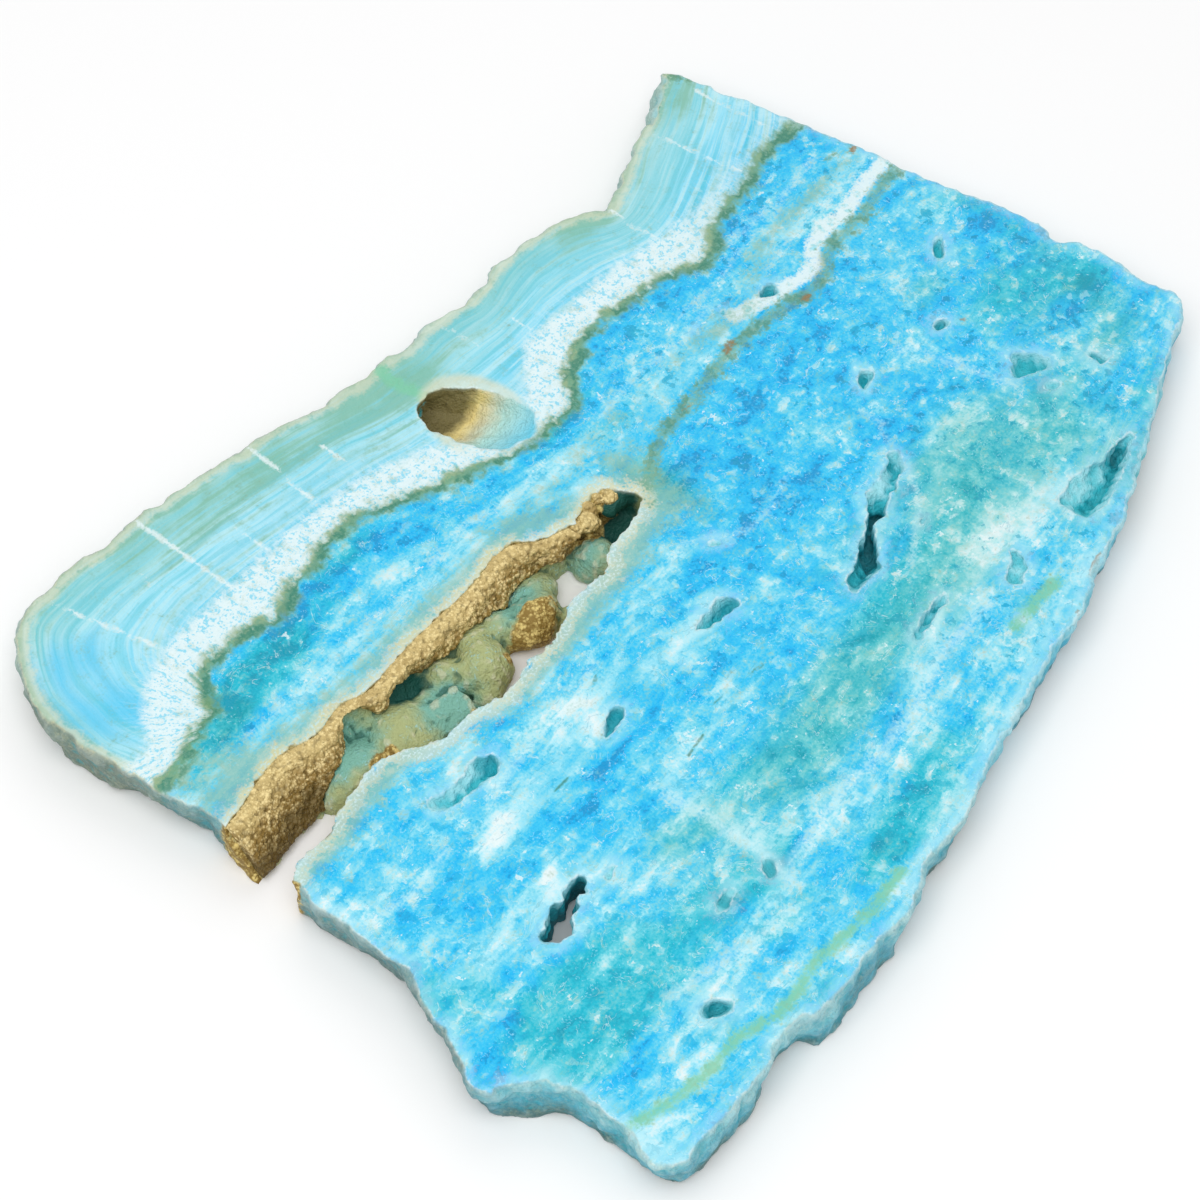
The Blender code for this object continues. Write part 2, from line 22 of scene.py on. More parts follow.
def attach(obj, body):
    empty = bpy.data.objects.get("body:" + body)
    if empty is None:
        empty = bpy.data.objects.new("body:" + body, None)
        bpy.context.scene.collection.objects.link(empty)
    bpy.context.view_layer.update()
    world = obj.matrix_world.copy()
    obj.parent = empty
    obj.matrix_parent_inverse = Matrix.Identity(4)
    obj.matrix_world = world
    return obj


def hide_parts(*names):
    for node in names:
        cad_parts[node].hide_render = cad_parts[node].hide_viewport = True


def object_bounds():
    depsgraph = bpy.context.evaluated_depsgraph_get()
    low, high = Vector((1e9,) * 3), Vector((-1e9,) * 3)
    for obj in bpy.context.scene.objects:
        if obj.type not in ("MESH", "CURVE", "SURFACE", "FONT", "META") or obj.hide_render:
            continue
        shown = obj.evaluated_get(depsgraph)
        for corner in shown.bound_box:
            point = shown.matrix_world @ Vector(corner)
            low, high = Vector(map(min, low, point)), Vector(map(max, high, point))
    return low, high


LOG = logging.getLogger("aragonite_slab")

MM = 0.001
MIDDLE = (0.82, 4.21)
THICKNESS = 10.0

Point = tuple[float, float]
Line = tuple[Point, ...]
Colour = tuple[float, float, float]
Value = bpy.types.NodeSocket | float | tuple[float, ...]

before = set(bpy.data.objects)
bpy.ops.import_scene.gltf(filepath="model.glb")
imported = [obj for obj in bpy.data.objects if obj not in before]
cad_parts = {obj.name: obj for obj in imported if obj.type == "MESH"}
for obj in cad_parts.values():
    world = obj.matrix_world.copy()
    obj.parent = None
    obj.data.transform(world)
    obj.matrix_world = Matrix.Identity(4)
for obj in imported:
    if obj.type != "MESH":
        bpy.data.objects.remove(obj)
CAD_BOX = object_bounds()


# The growth lines of the stone, from the rim inwards

RIM: Line = (
    (-92, 40), (-94.5, 44), (-95.5, 52), (-95.6, 60), (-94, 67), (-92.3, 70.3),
    (-90.2, 73.6), (-88.2, 76.2), (-84, 80.3), (-81, 81.3), (-78, 81.9), (-76.5, 81.3),
    (-73.5, 82), (-66, 81.3), (-62, 80), (-60, 80.5), (-55, 80.2), (-52, 80.4),
    (-49, 79), (-46, 79.1), (-38, 77.6), (-34.5, 77), (-31.3, 75.4), (-29, 76),
    (-22, 74.3), (-15, 71.6), (-9, 71), (-7, 69.6), (-1, 70.4), (5, 68.3), (11, 69.1),
    (13, 68), (16, 68.4), (19.5, 67), (25.5, 67.2), (30, 68.8), (37, 68.3), (45, 66.8),
    (50.5, 64.2), (53.8, 60.6), (57, 62.5), (60.3, 63.2), (65, 65.6), (70, 67.8),
    (76, 69.4), (80, 71.9), (86, 75), (92, 76),
)
WHITE_TOP: Line = (
    (-100, 42), (-92, 44.5), (-88, 45), (-85, 48), (-82, 51), (-78, 54), (-74, 55.5),
    (-68, 56.5), (-50, 56.5), (-40, 56.5), (-30, 55.5), (-22, 54.5), (-15, 51.5),
    (-10, 49), (-7, 47), (0, 42), (5, 41), (9, 43), (12, 45.5), (16, 49), (20, 51.5),
    (30, 51), (40, 50.5), (50, 49), (62, 47.5), (70, 48), (80, 49), (100, 50),
)
OLIVE_LINE: Line = (
    (-100, 37), (-91, 38.5), (-85, 40), (-80, 41.5), (-76, 42), (-74.5, 45.5),
    (-72, 48.3), (-68, 49.2), (-63, 48.5), (-58, 48.2), (-56, 46.3), (-52, 47.2),
    (-48, 49), (-43, 48.8), (-39, 50.5), (-31, 50.3), (-27, 49), (-22, 46.3),
    (-17, 43.7), (-12, 42), (-8, 40.5), (-4, 39), (0, 37.2), (5, 36.6), (9, 37),
    (12, 36.5), (15, 38), (17, 40), (19, 42), (22, 42.5), (25, 44.5), (28, 45.2),
    (33, 44.8), (38, 44), (43, 43.2), (48, 42.2), (50.5, 40.6), (53, 39.2), (56, 39),
    (59, 39.5), (62, 42), (66, 43.5), (70, 44), (75, 44.5), (79, 45.5), (86, 46.8),
    (90, 46.8), (100, 45),
)
FAR_LIP: Line = (
    (-99, 24.5), (-90.3, 25), (-86, 25.6), (-82, 26.8), (-76, 27.6), (-73.5, 27),
    (-71, 26), (-68.5, 25.3), (-64, 26.2), (-61.5, 26.3), (-58, 24.8), (-55, 24.3),
    (-47, 25.2), (-37, 25.2), (-26, 25.1), (-22, 26), (-17, 25.2), (-15, 22.8),
    (-13, 21.4), (-8.5, 19.7), (-6, 19.4), (-1, 21.3), (1, 21.2), (3.5, 19), (4.9, 15.5),
)
NEAR_LIP: Line = (
    (-99, 8.2), (-92, 9.5), (-89, 11.3), (-84, 11), (-80, 11.5), (-75, 13), (-70, 13.7),
    (-65.5, 13.7), (-61.5, 12.3), (-58.8, 10.5), (-57.3, 9), (-54.5, 8.1), (-50.5, 8.5),
    (-45, 6.8), (-41.5, 6), (-37.5, 6.3), (-33.5, 7.1), (-30, 6.3), (-24, 8),
    (-19.5, 9.5), (-13, 9.3), (-12, 8.6), (-7, 11.2), (-1.5, 11.7), (3.5, 12.7),
    (4.9, 15.5),
)
# Lines that the strata follow, each with its place in the sequence
STRATA: tuple[tuple[float, Line], ...] = (
    (80, ((-100, 74), (-90, 80), (-70, 84), (0, 72), (50, 68), (70, 70), (100, 78))),
    (46, OLIVE_LINE),
    (33, ((-100, 30), (-60, 32), (-20, 33), (10, 30), (40, 31), (60, 32), (100, 33))),
    (24, ((-100, 25), (-60, 26), (-20, 25.5), (-4, 22), (6, 16), (18, 19.5), (30, 21),
          (50, 22.5), (60, 21), (70, 25), (100, 26.5))),
    (10, ((-100, 8), (-70, 13), (-50, 8.5), (-38, 6), (-18, 9), (4, 11), (20, 12),
          (60, 12), (100, 12))),
    (-8, ((-100, -8), (-60, -9), (-40, -8), (-20, -5), (0, -11), (20, -9), (45, -9),
          (100, -9))),
    (-24, ((-100, -27), (-60, -25), (-30, -25), (0, -24), (15, -27), (42, -16),
           (60, -20), (100, -26))),
    (-46, ((-100, -50), (-60, -48), (-40, -49), (0, -45), (20, -41), (35, -45),
           (60, -45), (100, -33))),
    (-64, ((-100, -60), (-85, -64), (-68, -65), (-40, -66), (-20, -63), (0, -60),
           (40, -53), (100, -36))),
    (-78, ((-100, -76), (-30, -78), (0, -72), (60, -58), (100, -44))),
)


class Mark(Enum):
    """A family of marks that are drawn as lines, each with its field on the skin."""

    SEAM = "seam"
    VEIN = "vein"
    STREAK = "streak"
    HAZE = "haze"
    STRIPE = "stripe"
    MOSS = "moss"
    CRACK = "crack"


# Each drawn line with half its width
MARKS: dict[Mark, tuple[tuple[float, Line], ...]] = {
    Mark.SEAM: (
        (0.2, ((-76.8, 79), (-76, 74), (-74, 66), (-72.5, 60), (-71.5, 55))),
        (0.26, ((-55.2, 80), (-55, 70), (-55.4, 62), (-54.8, 56), (-55.2, 49))),
        (0.14, ((-63, 71), (-63.4, 66))),
        (0.15, ((-45.5, 65), (-45, 57))),
        (0.22, ((-30.6, 75), (-31, 68), (-32, 60), (-33, 52))),
        (0.16, ((-22, 65), (-22.6, 57))),
        (0.22, ((53.8, 60), (53.3, 55), (53.7, 49))),
        (0.16, ((12.6, 67), (12.9, 58))),
        (0.14, ((22, 58), (22.4, 51))),
        (0.16, ((74, 66), (75.4, 56), (77, 47))),
        (0.14, ((88, 67), (89, 51))),
    ),
    Mark.VEIN: (
        (1.6, ((48, 26.5), (54, 24.6), (58.3, 23.6), (62.5, 22.4), (67.4, 22.1), (70.3, 25.3),
               (75.8, 26.4), (81.1, 25.7), (86, 26.5), (91.6, 27.6), (99, 27.2))),
    ),
    Mark.STREAK: (
        (0.9, ((60, -2), (63, -3), (63.5, -8), (65, -14), (66.5, -19), (67, -23))),
        (0.2, ((45, -5), (45, -10), (43, -11), (42, -14))),
        (0.2, ((10, -5), (17, -5.5), (22, -4), (30, -1))),
        (0.5, ((10, -5), (6, -1), (2, 1.5), (-4, 1))),
        (1.0, ((-70, -52), (-62, -54), (-55, -56), (-45, -57))),
        (1.1, ((-38, -52), (-30, -51), (-20, -50), (-12, -51), (0, -50), (10, -47),
               (25, -47))),
        (0.4, ((-76, 34), (-60, 32), (-45, 33.5), (-34, 31.5))),
        (0.5, ((-30, 33), (-20, 34), (-8, 31), (0, 32))),
        (0.6, ((14, 31), (26, 31.6), (38, 30), (47, 31.5))),
        (0.4, ((60, 28.6), (70, 30.2), (80, 29.8), (93, 30))),
        (0.4, ((40, 34), (52, 33.6), (62, 35.6), (74, 35.8))),
        (0.6, ((62, 38), (74, 37), (88, 38.4))),
        (0.7, ((-91, -5.5), (-82, -7.5), (-72, -6.4))),
        (0.8, ((-60, -6), (-46, -3.5), (-36, -4.6), (-28, -1.8))),
        (1.3, ((-40.5, -28.2), (-39.9, -34), (-39.7, -38.5), (-39.3, -46.5), (-40.8, -53.8))),
        (0.6, ((40, -19), (36.6, -23), (33.6, -26), (28, -29), (23, -32))),
    ),
    Mark.HAZE: (
        (2.6, ((-39, -28), (-38.6, -40), (-37, -52))),
        (3.0, ((-64, -11), (-52, -12), (-40, -9), (-28, -5.5))),
        (2.2, ((-24, -9.6), (-14, -11.2), (-4, -10))),
        (2.6, ((5, -46), (22, -44), (36, -41), (52, -41.5))),
        (1.4, ((-92, 32), (-60, 31.4), (-30, 31), (4, 30))),
        (1.6, ((-4, 24.5), (6, 22), (18, 25), (34, 26), (50, 27))),
        (2.2, ((-90, -24), (-76, -25.6), (-60, -24.5))),
        (3.0, ((-92, -45), (-93, -58), (-92, -70))),
        (1.0, ((-75, -52.5), (-60, -54.5), (-44, -55.4))),
        (1.6, ((-32, -69.6), (-6, -66), (20, -60), (44, -54.6))),
        (2.0, ((38, -25.6), (47, -20), (55, -21))),
        (1.6, ((16, -46.5), (28, -40), (40, -36.4), (57.4, -38), (72, -43))),
        (0.8, ((58, 30), (74, 31.4), (92, 31))),
    ),
    Mark.STRIPE: (
        (1.1, ((-92, -61), (-85, -63.5), (-75, -65), (-68, -64.8), (-62, -67),
               (-55, -67), (-50, -66), (-40, -67.5), (-28, -67))),
        (1.4, ((-2.6, 68), (-3, 63), (-2, 58.5))),
        (1.2, ((24, -53.5), (30, -53), (36, -53.6))),
    ),
    Mark.MOSS: (
        (1.5, ((58, 20.6), (62, 19), (67, 19.4), (69.9, 22), (75, 22.8), (82, 22.6), (88, 23.8),
               (93, 24.4), (99, 24.4))),
        (1.5, ((5, 12), (8, 15), (18, 19.5), (30, 20.5), (40, 22), (50, 21.5),
               (60, 19.5))),
        (0.8, ((76, 69), (84, 72.5), (88.5, 73), (90, 69))),
        (0.4, ((90, 36.6), (93, 35), (96, 33.4))),
    ),
    Mark.CRACK: (
        (0.16, ((-52, -13), (-48, -13.2))),
        (0.12, ((-22, -22.7), (-18, -23.6), (-13, -23.8), (-10, -24.5))),
        (0.14, ((-32.5, -26), (-27.5, -25.4))),
        (0.14, ((-31, -4.6), (-29.4, -3.8))),
    ),
}


class Stain(Enum):
    """A family of soft stains, each with its field on the skin; inside the hollows one of them is painted shade.
    """

    DEEP_AND_SHADE = "deep"
    TEAL = "teal"
    GREEN = "green"
    PALE = "pale"
    BROWN = "brown"
    RIM = "rim"
    GOLD = "gold"
    MIST = "mist"


# Middle, half sizes, turn in degrees and strength of each stain
STAINS: dict[Stain, tuple[tuple[float, float, float, float, float, float], ...]] = {
    # Deep-blue patches of the stone; inside the pits and the long hollow this field is painted shadow, and several
    # small strong stains here are there for it
    Stain.DEEP_AND_SHADE: (
        (-86, 54, 6, 10, 40, 1.0), (-84, 68, 7, 6, 20, 0.9), (-70, 43.5, 8, 3, 0, 0.7), (-58, 42, 16, 4, 0, 0.8),
        (-38, 44.5, 13, 4, 0, 0.9), (-22, 40, 10, 3.4, -18, 0.9), (-4, 35, 9, 2.6, 0, 0.6),
        (10, 35.4, 8, 2.4, 0, 1.0), (29, 41, 12, 3, 0, 0.9), (46, 37.6, 9, 3.4, -6, 0.8),
        (66, 39.6, 9, 2.6, 8, 0.7), (84, 42.5, 12, 3, 0, 0.8), (-84, -10, 10, 4, 0, 0.6),
        (-60, -8.5, 12, 2.4, 0, 0.6), (-47, -17, 13, 4, 0, 0.9), (-74, -19, 14, 3.4, 0, 0.7),
        (-12, -15, 12, 3.4, 4, 0.7), (-24, -3, 7, 2.4, -12, 0.6), (5, -9, 8, 4, 0, 0.7),
        (22, -7, 12, 5, 0, 0.8), (26, 6, 17, 7, 0, 0.9), (20, 23.6, 5, 2.2, 5, 0.7),
        (48, 14, 16, 5, 0, 0.8), (48, -12, 9, 5, 0, 0.6), (72, 14, 16, 6, 0, 0.35),
        (62, 2, 10, 5, 0, 0.4), (92, 4, 8, 9, 0, 0.4), (92, -17, 9, 8, 0, 0.4),
        (79, -10, 8, 5, 0, 0.5), (-10, -30, 16, 4.4, 0, 0.5), (6, -20, 8, 4, 0, 0.5),
        (-88, -33, 7, 5, 30, 0.8), (-97, -38, 5, 4, 40, 0.8), (-2, -4.6, 9, 2.4, 10, 0.6),
        (-40, -60.6, 12, 2.2, 0, 0.4), (78, -39, 9, 3, 20, 0.5), (-64, 5, 14, 2.2, 0, 0.3),
        (-50, 22, 5, 2.6, 0, 1.2), (0.6, 16.6, 5, 2.4, 0, 1.6),
        (-50.4, -47.6, 1.6, 3, 10, 1.3), (-41, -49.9, 3.4, 2, 0, 1.3), (-54, 0.2, 3, 2, 0, 1.4),
        (-77.5, -43.8, 6, 2.2, 0, 0.7), (-5, -12.4, 3.5, 1.6, -10, 1.2), (-34, -11.4, 3, 1.5, 10, 1.2),
        (-36, -16.6, 9, 1.0, 0, 0.9), (-52, -20.4, 9, 0.9, 0, 0.8), (-22, -19.4, 8, 0.9, 0, 0.7),
        (-26, -8, 7, 0.9, 10, 0.7), (-12, -5.4, 8, 0.8, 0, 0.6),
    ),
    Stain.TEAL: (
        (-78, -44, 12, 6, 0, 1.4), (-87, -47, 7, 5, 0, 1.0), (-12, -60, 16, 4.6, 6, 1.0),
        (-24, -63, 9, 3, 0, 0.9), (17, -34, 17, 6, 5, 1.0), (36, -30, 10, 4, 10, 0.6),
        (-48, -48, 10, 4, 0, 0.9), (-39, -50, 6, 3, 0, 0.7), (60, -36, 12, 5, 12, 0.7),
        (96, -19, 5, 5, 0, 0.9), (-90, -26, 6, 4, 0, 0.5), (8, 36, 8, 2.4, 0, 0.9),
        (-64, 41, 13, 4, 0, 1.3), (-46, -57, 9, 2.6, 0, 0.5), (16, 27, 6, 2.4, 0, 0.4),
        (82, -43, 9, 3.4, 20, 0.7), (47, -28, 8, 6, 20, 0.5), (-10, -42, 14, 5, 0, 0.7),
        (-47.6, 13.3, 4.6, 4.6, 0, 1.4), (-66, 21, 6, 4, 0, 1.2), (-24, 18, 5, 3, 0, 0.9),
        (-8, 15, 6, 4, 0, 0.6), (-40, 46, 14, 3, 0, 0.5), (-82, 36, 8, 4, 0, 0.7),
        (86, -10, 12, 10, 0, 0.7), (98, 6, 3, 10, 0, 0.6), (-94, -20, 4, 8, 0, 0.6),
        (-28, -36, 12, 5, 0, 0.6), (-60, -44, 10, 5, 0, 0.5), (72, -27, 8, 5, 0, 0.5),
        (-74, 40, 8, 3, 0, 1.0), (-80, -37, 14, 4, 0, 0.8), (-68, -52, 12, 4, 0, 0.5),
        (-77.5, -43.6, 7, 3, 0, 0.8),
    ),
    Stain.GREEN: (
        (9, 12, 5, 9, 0, 0.9), (2, 24, 9, 3, -30, 0.4), (52, -21, 11, 6, 10, 0.9),
        (38, -24, 10, 5, 12, 0.7), (62, -29, 13, 6, 0, 0.8), (28, -39, 20, 6, 6, 0.9),
        (-22, -42, 20, 8, 0, 0.8), (-2, -36, 15, 6, 0, 0.9), (60, -47.5, 15, 5, 8, 0.9),
        (-76, 38, 6, 3, 0, 0.7), (-70, -60, 8, 4, 0, 0.5), (66, -38, 14, 6, 0, 0.5),
        (26, -54, 9, 3, 8, 0.7), (-60, -69.6, 14, 2, 0, 0.6),
        (76, 3, 6, 4, 0, 0.6), (40, -33, 16, 7, 0, 0.7), (85, -30, 9, 6, 0, 0.6),
        (-45, -36, 10, 7, 0, 0.6), (-88, 34, 6, 3, 0, 0.6), (20, -22, 12, 5, 10, 0.5),
        (96, -8, 4, 8, 0, 0.5), (84, -16, 8, 4, 20, 0.5), (93, -24, 5, 7, 0, 0.6),
    ),
    Stain.PALE: (
        (-64, -11, 5, 1.8, 0, 0.8), (-18, -11, 5, 1.8, 0, 0.5), (-38, -6, 12, 2.2, 10, 0.5),
        (14, 2, 5, 2, 20, 0.3), (60, -4, 3, 2, 0, 0.4), (-84, 37, 6, 2, 0, 0.4),
        (-40, 37.6, 9, 1.6, 0, 0.4), (-86, -14, 6, 1.6, 0, 0.3), (72, 8, 5, 3, 0, 0.3),
        (-80, -34, 14, 1.6, 0, 0.3), (46, -38, 10, 2.6, 0, 0.2), (80, -17, 6, 3, 0, 0.3),
        (-56, -37, 8, 2, 0, 0.3), (-92, -30, 2, 8, 0, 0.5), (-91, 0, 2, 8, 0, 0.6),
        (0, -54, 12, 2, 6, 0.4), (-62, -58, 12, 2, 0, 0.3), (-80, -64, 10, 3, 0, 0.5),
        (-64, -41, 7, 3, 0, 0.5), (44, -41, 8, 3, 0, 0.2), (54, -40.6, 6, 2, 0, 0.2),
        (51, -33.5, 7, 2.4, 0, 0.3), (36, -39.5, 8, 2.4, 20, 0.3), (24, -45, 7, 2.4, 20, 0.35),
        (-36, -9.6, 5, 2.4, 10, 0.6), (-62, -9.5, 5, 2.4, 0, 0.7), (-64.5, -22.6, 4, 1.6, 40, 1.0),
    ),
    Stain.BROWN: (
        (41.6, 22.6, 2.2, 0.8, 10, 1.0), (60, 19, 1.1, 0.8, 0, 0.9), (95, 34, 1.4, 0.7, 10, 1.0),
        (43.4, -56.6, 2.2, 0.6, 14, 1.3), (13.5, 17, 0.9, 0.6, 0, 0.8),
        (26, 20, 1.4, 0.8, 0, 0.6), (73.5, -6.5, 0.6, 0.9, 0, 0.7),
        (84, -16.7, 0.5, 0.5, 0, 0.7), (-10, -36, 0.8, 0.6, 0, 0.5),
        (82.6, -33.8, 1.1, 0.5, 0, 0.6), (26, -53.4, 1.2, 0.5, 10, 0.5),
        (88.8, 44, 1.4, 0.5, -10, 0.4), (-74, -71.5, 4, 0.6, 6, 0.4),
        (33, -60, 0.5, 0.4, 0, 0.8),
    ),
    Stain.RIM: (
        (-62, 75, 9, 5, 0, 0.8), (-46, 73, 9, 5, 0, 0.7), (-31, 70, 8, 5, 0, 0.9),
        (-15, 66, 8, 5, 0, 0.8), (-1, 63, 8, 6, 0, 1.1), (22, 62, 13, 4, 0, 0.7),
        (46, 61, 9, 5, 0, 1.1), (84, 69, 9, 6, 30, 0.9), (-78, 78, 7, 3, 20, 0.6),
        (-93, 60, 2.6, 9, 0, 0.7), (66, 62, 6, 3, 20, 0.5),
    ),
    Stain.GOLD: (
        (-63, 14.6, 2.8, 1.6, 0, 1.5), (-27, 12.4, 6.0, 3.0, 14, 1.6),
        (-2.6, 20.3, 3.4, 1.4, 10, 1.4), (-3.6, 19.2, 2.8, 2.6, 0, 1.6),
        (2.8, 19.4, 2.4, 1.4, 0, 0.7), (-94, 7, 2.4, 5, -20, 1.0),
        (-94, 20, 3.0, 6.0, 0, 1.6), (-45.6, 9.5, 3.0, 1.4, 10, 0.5),
    ),
    Stain.MIST: (
        (-40, 27.6, 40, 2.4, 0, 0.8), (-80, 29, 12, 2.4, 0, 0.8), (-10, 24.6, 8, 2, -20, 0.7),
        (-85, 33, 8, 5, 0, 0.6), (-6, 21.5, 6, 2, -20, 0.5), (9, 21, 4, 3, 0, 0.5),
        (8, 13, 4, 9, 0, 0.8), (79, 33.2, 17, 1.6, 0, 0.7), (60, 30.4, 8, 2, 20, 0.5),
        (44, 27, 10, 2.4, -6, 0.6), (-25, 5, 22, 2.4, 4, 0.9), (-4, 8, 10, 2.4, 10, 0.8),
        (-80, 9, 12, 2.2, 6, 0.9), (-66, 10.5, 10, 2, -6, 0.6), (14, 28.6, 8, 2, 0, 0.3),
    ),
}

# Middle and reach of the pits in the polished face
PITS: tuple[tuple[float, float, float], ...] = (
    (-60, -0.8, 9), (-36, -12, 7), (-7, -12, 7), (-59, -30, 5), (-50, -26.6, 3),
    (20, -25, 10), (34, -18, 9.5), (16, -41, 8), (34, -46.5, 6), (53.5, -46.8, 5.6),
    (59.5, -46.8, 5.6), (66, -46.4, 5.2), (70.5, -45.6, 4), (51, -1, 5), (70, -4, 5), (85, 7, 5), (56.5, 25, 5), (73, -22, 6),
    (83, -31, 5), (-67, -59, 6), (-51, -48, 5), (-41, -49.5, 4), (-69, -29, 9.5),
    (71.7, -28, 3.5), (19, 24, 7), (4, 0, 5),
)
EYE: tuple[float, float, float] = (0.4, 47.6, 12)

# Hollows too small for the solid: middle, half sizes, depth of the middle, turn in degrees
SMALL_HOLLOWS: tuple[tuple[float, float, float, float, float, float], ...] = (
    (71.7, -28.1, 1.9, 0.8, 0.2, -38), (51.8, -41.4, 0.6, 0.6, 0.1, 0),
    (56.8, -42.3, 0.6, 0.6, 0.1, 0), (19.6, 24.2, 4.2, 1.5, -0.9, 14),
    (32, -27.8, 1.2, 0.7, 0.0, 20), (5.2, -2.4, 1.8, 0.7, 0.0, -40),
    (1.6, 0.6, 1.1, 0.5, 0.1, 30), (-50, -13.1, 1.9, 0.4, 0.1, -3),
    (-31.4, -25.9, 1.1, 0.4, 0.1, 8), (-28.4, -25.5, 0.7, 0.4, 0.1, 8),
    (-11.2, -24.3, 1.1, 0.35, 0.1, -12), (47.4, 28.4, 1.2, 0.6, 0.0, 30),
    (40.6, 29.2, 1.4, 0.6, -0.1, -40), (-30.2, -4.2, 0.9, 0.45, 0.1, 40),
    (86.4, 12.2, 0.6, 0.4, 0.0, 0), (26.4, -53.4, 1.9, 0.5, 0.0, 10),
    (13, -48, 1.1, 0.5, 0.0, 10), (88.6, 34, 1.2, 0.5, 0.0, 10),
    (-14.4, 1.3, 1.2, 0.5, -0.1, 0), (78, 35.6, 0.8, 0.5, 0.0, 0),
    (24.9, -21.9, 2.6, 1.0, 0.6, 32), (25.2, -21.6, 2.5, 0.9, 2.1, 32),
    (25.6, -21.3, 2.4, 0.8, 3.6, 32), (79.4, 3.2, 1.6, 0.4, -0.1, 24),
)
# Swellings of the pits' far walls: middle, half sizes, turn in degrees
SWELLINGS: tuple[tuple[float, float, float, float, float, float, float], ...] = (
    (34.0, -16.0, 6.2, 5.6, 3.1, 3.3, 18), (15.5, -24.4, 4.2, 5.6, 2.2, 3.0, 20),
    (57.0, -40.8, 5.6, 11.0, 6.8, 3.8, -3), (34.0, -46.0, 5.6, 4.4, 3.0, 3.2, 10),
    (-60.0, 1.4, 6.4, 8.0, 2.4, 3.0, -6), (-6.0, -10.0, 6.6, 5.0, 1.8, 2.6, -8),
)


def shifted(points: np.ndarray) -> np.ndarray:
    """The drawing's millimetres for points of the frame, which are in metres."""
    return points[:, :2] / MM + np.array(MIDDLE)


def heights_along(line: Line, x: np.ndarray) -> np.ndarray:
    """How high a drawn line runs at each x."""
    corners = np.array(line, float)
    return np.interp(x, corners[:, 0], corners[:, 1])


def line_distance(plan: np.ndarray, line: Line) -> np.ndarray:
    """Distance from each point of the drawing to the nearest spot of a drawn line.

    Args:
        plan: points of the drawing, one row each.
        line: the corners of the line.

    Returns:
        One distance in millimetres for each point.
    """
    corners = np.array(line, float)
    nearest = np.full(len(plan), np.inf)
    for start, end in zip(corners, corners[1:]):
        along = end - start
        share = np.clip((plan - start) @ along / (along @ along), 0.0, 1.0)
        offset = plan - start - share[:, None] * along
        nearest = np.minimum(nearest, np.hypot(offset[:, 0], offset[:, 1]))
    return nearest


def side_of(plan: np.ndarray, line: Line) -> np.ndarray:
    """Distance from a line that runs left to right, positive above it."""
    above = plan[:, 1] > heights_along(line, plan[:, 0])
    return np.where(above, 1.0, -1.0) * line_distance(plan, line)


def strata_level(plan: np.ndarray) -> np.ndarray:
    """The place of each point in the sequence of strata."""
    level = np.full(len(plan), STRATA[0][0], float)
    for (upper, top), (lower, bottom) in zip(STRATA, STRATA[1:]):
        high = heights_along(top, plan[:, 0])
        low = heights_along(bottom, plan[:, 0])
        share = (plan[:, 1] - low) / np.maximum(high - low, 0.5)
        level = np.where(share < 1.0, lower + share * (upper - lower), level)
    return level


def stain_strength(plan: np.ndarray, stain: Stain) -> np.ndarray:
    """How strongly a family of stains colours each point, from 0."""
    total = np.zeros(len(plan))
    for x, y, half_x, half_y, turn, strength in STAINS[stain]:
        angle = math.radians(turn)
        offset = plan - (x, y)
        along = offset @ (math.cos(angle), math.sin(angle)) / half_x
        across = offset @ (-math.sin(angle), math.cos(angle)) / half_y
        total += strength * np.exp(-0.9 * (along**2 + across**2))
    return total


def rounded_distance(plan: np.ndarray, line: Line, spacing: float = 1.5) -> np.ndarray:
    """Distance from a drawn line, with contours that round off its corners.

    Args:
        plan: points of the drawing, one row each.
        line: the corners of the line.
        spacing: how far apart the beads lie that stand for the line.

    Returns:
        One distance in millimetres for each point.
    """
    corners = np.array(line, float)
    pull = np.zeros(len(plan))
    for start, end in zip(corners, corners[1:]):
        length = math.dist(start, end)
        count = max(1, round(length / spacing))
        for share in (np.arange(count) + 0.5) / count:
            x, y = start + share * (end - start)
            square = (plan[:, 0] - x) ** 2 + (plan[:, 1] - y) ** 2
            pull += 2.0 * length / (math.pi * count * np.maximum(square, 0.5) ** 2)
    return pull ** (-1.0 / 3.0)


def mark_depth(plan: np.ndarray, mark: Mark) -> np.ndarray:
    """How far inside the nearest mark of a family each point lies, negative outside."""
    depth = np.full(len(plan), -9.0)
    for half_width, line in MARKS[mark]:
        depth = np.maximum(depth, half_width - line_distance(plan, line))
    return depth


def in_circles(plan: np.ndarray, circles: tuple[tuple[float, float, float], ...]) -> np.ndarray:
    """True for each point inside one of the circles."""
    inside = np.zeros(len(plan), bool)
    for x, y, reach in circles:
        inside |= np.hypot(plan[:, 0] - x, plan[:, 1] - y) < reach
    return inside


def in_long_hollow(plan: np.ndarray) -> np.ndarray:
    """True for each point between the two lips of the long hollow."""
    x = plan[:, 0]
    below_far = plan[:, 1] < heights_along(FAR_LIP, x) + 0.8
    above_near = plan[:, 1] > heights_along(NEAR_LIP, x) - 2.0
    return below_far & above_near & (x < 6.5)


def grain(points: np.ndarray, size: float, seed: float) -> np.ndarray:
    """Smooth noise from about -1 to 1 at each point.

    Args:
        points: places in millimetres, one row each.
        size: how long one lump of the noise is.
        seed: moves the noise, so that two grains differ.

    Returns:
        One number for each point.
    """
    offset = Vector((seed, 2.3 * seed, -1.7 * seed))
    return np.array([1.6 * noise.noise(Vector(point) / size + offset) for point in points])


def crystal_bumps(points: np.ndarray, size: float) -> np.ndarray:
    """Height from 0 to 1 of rounded crystals about one size across."""
    nearest = [noise.voronoi(Vector(point) / size)[0][0] for point in points]
    return 1.0 - np.clip(np.array(nearest) / 0.8, 0.0, 1.0) ** 2


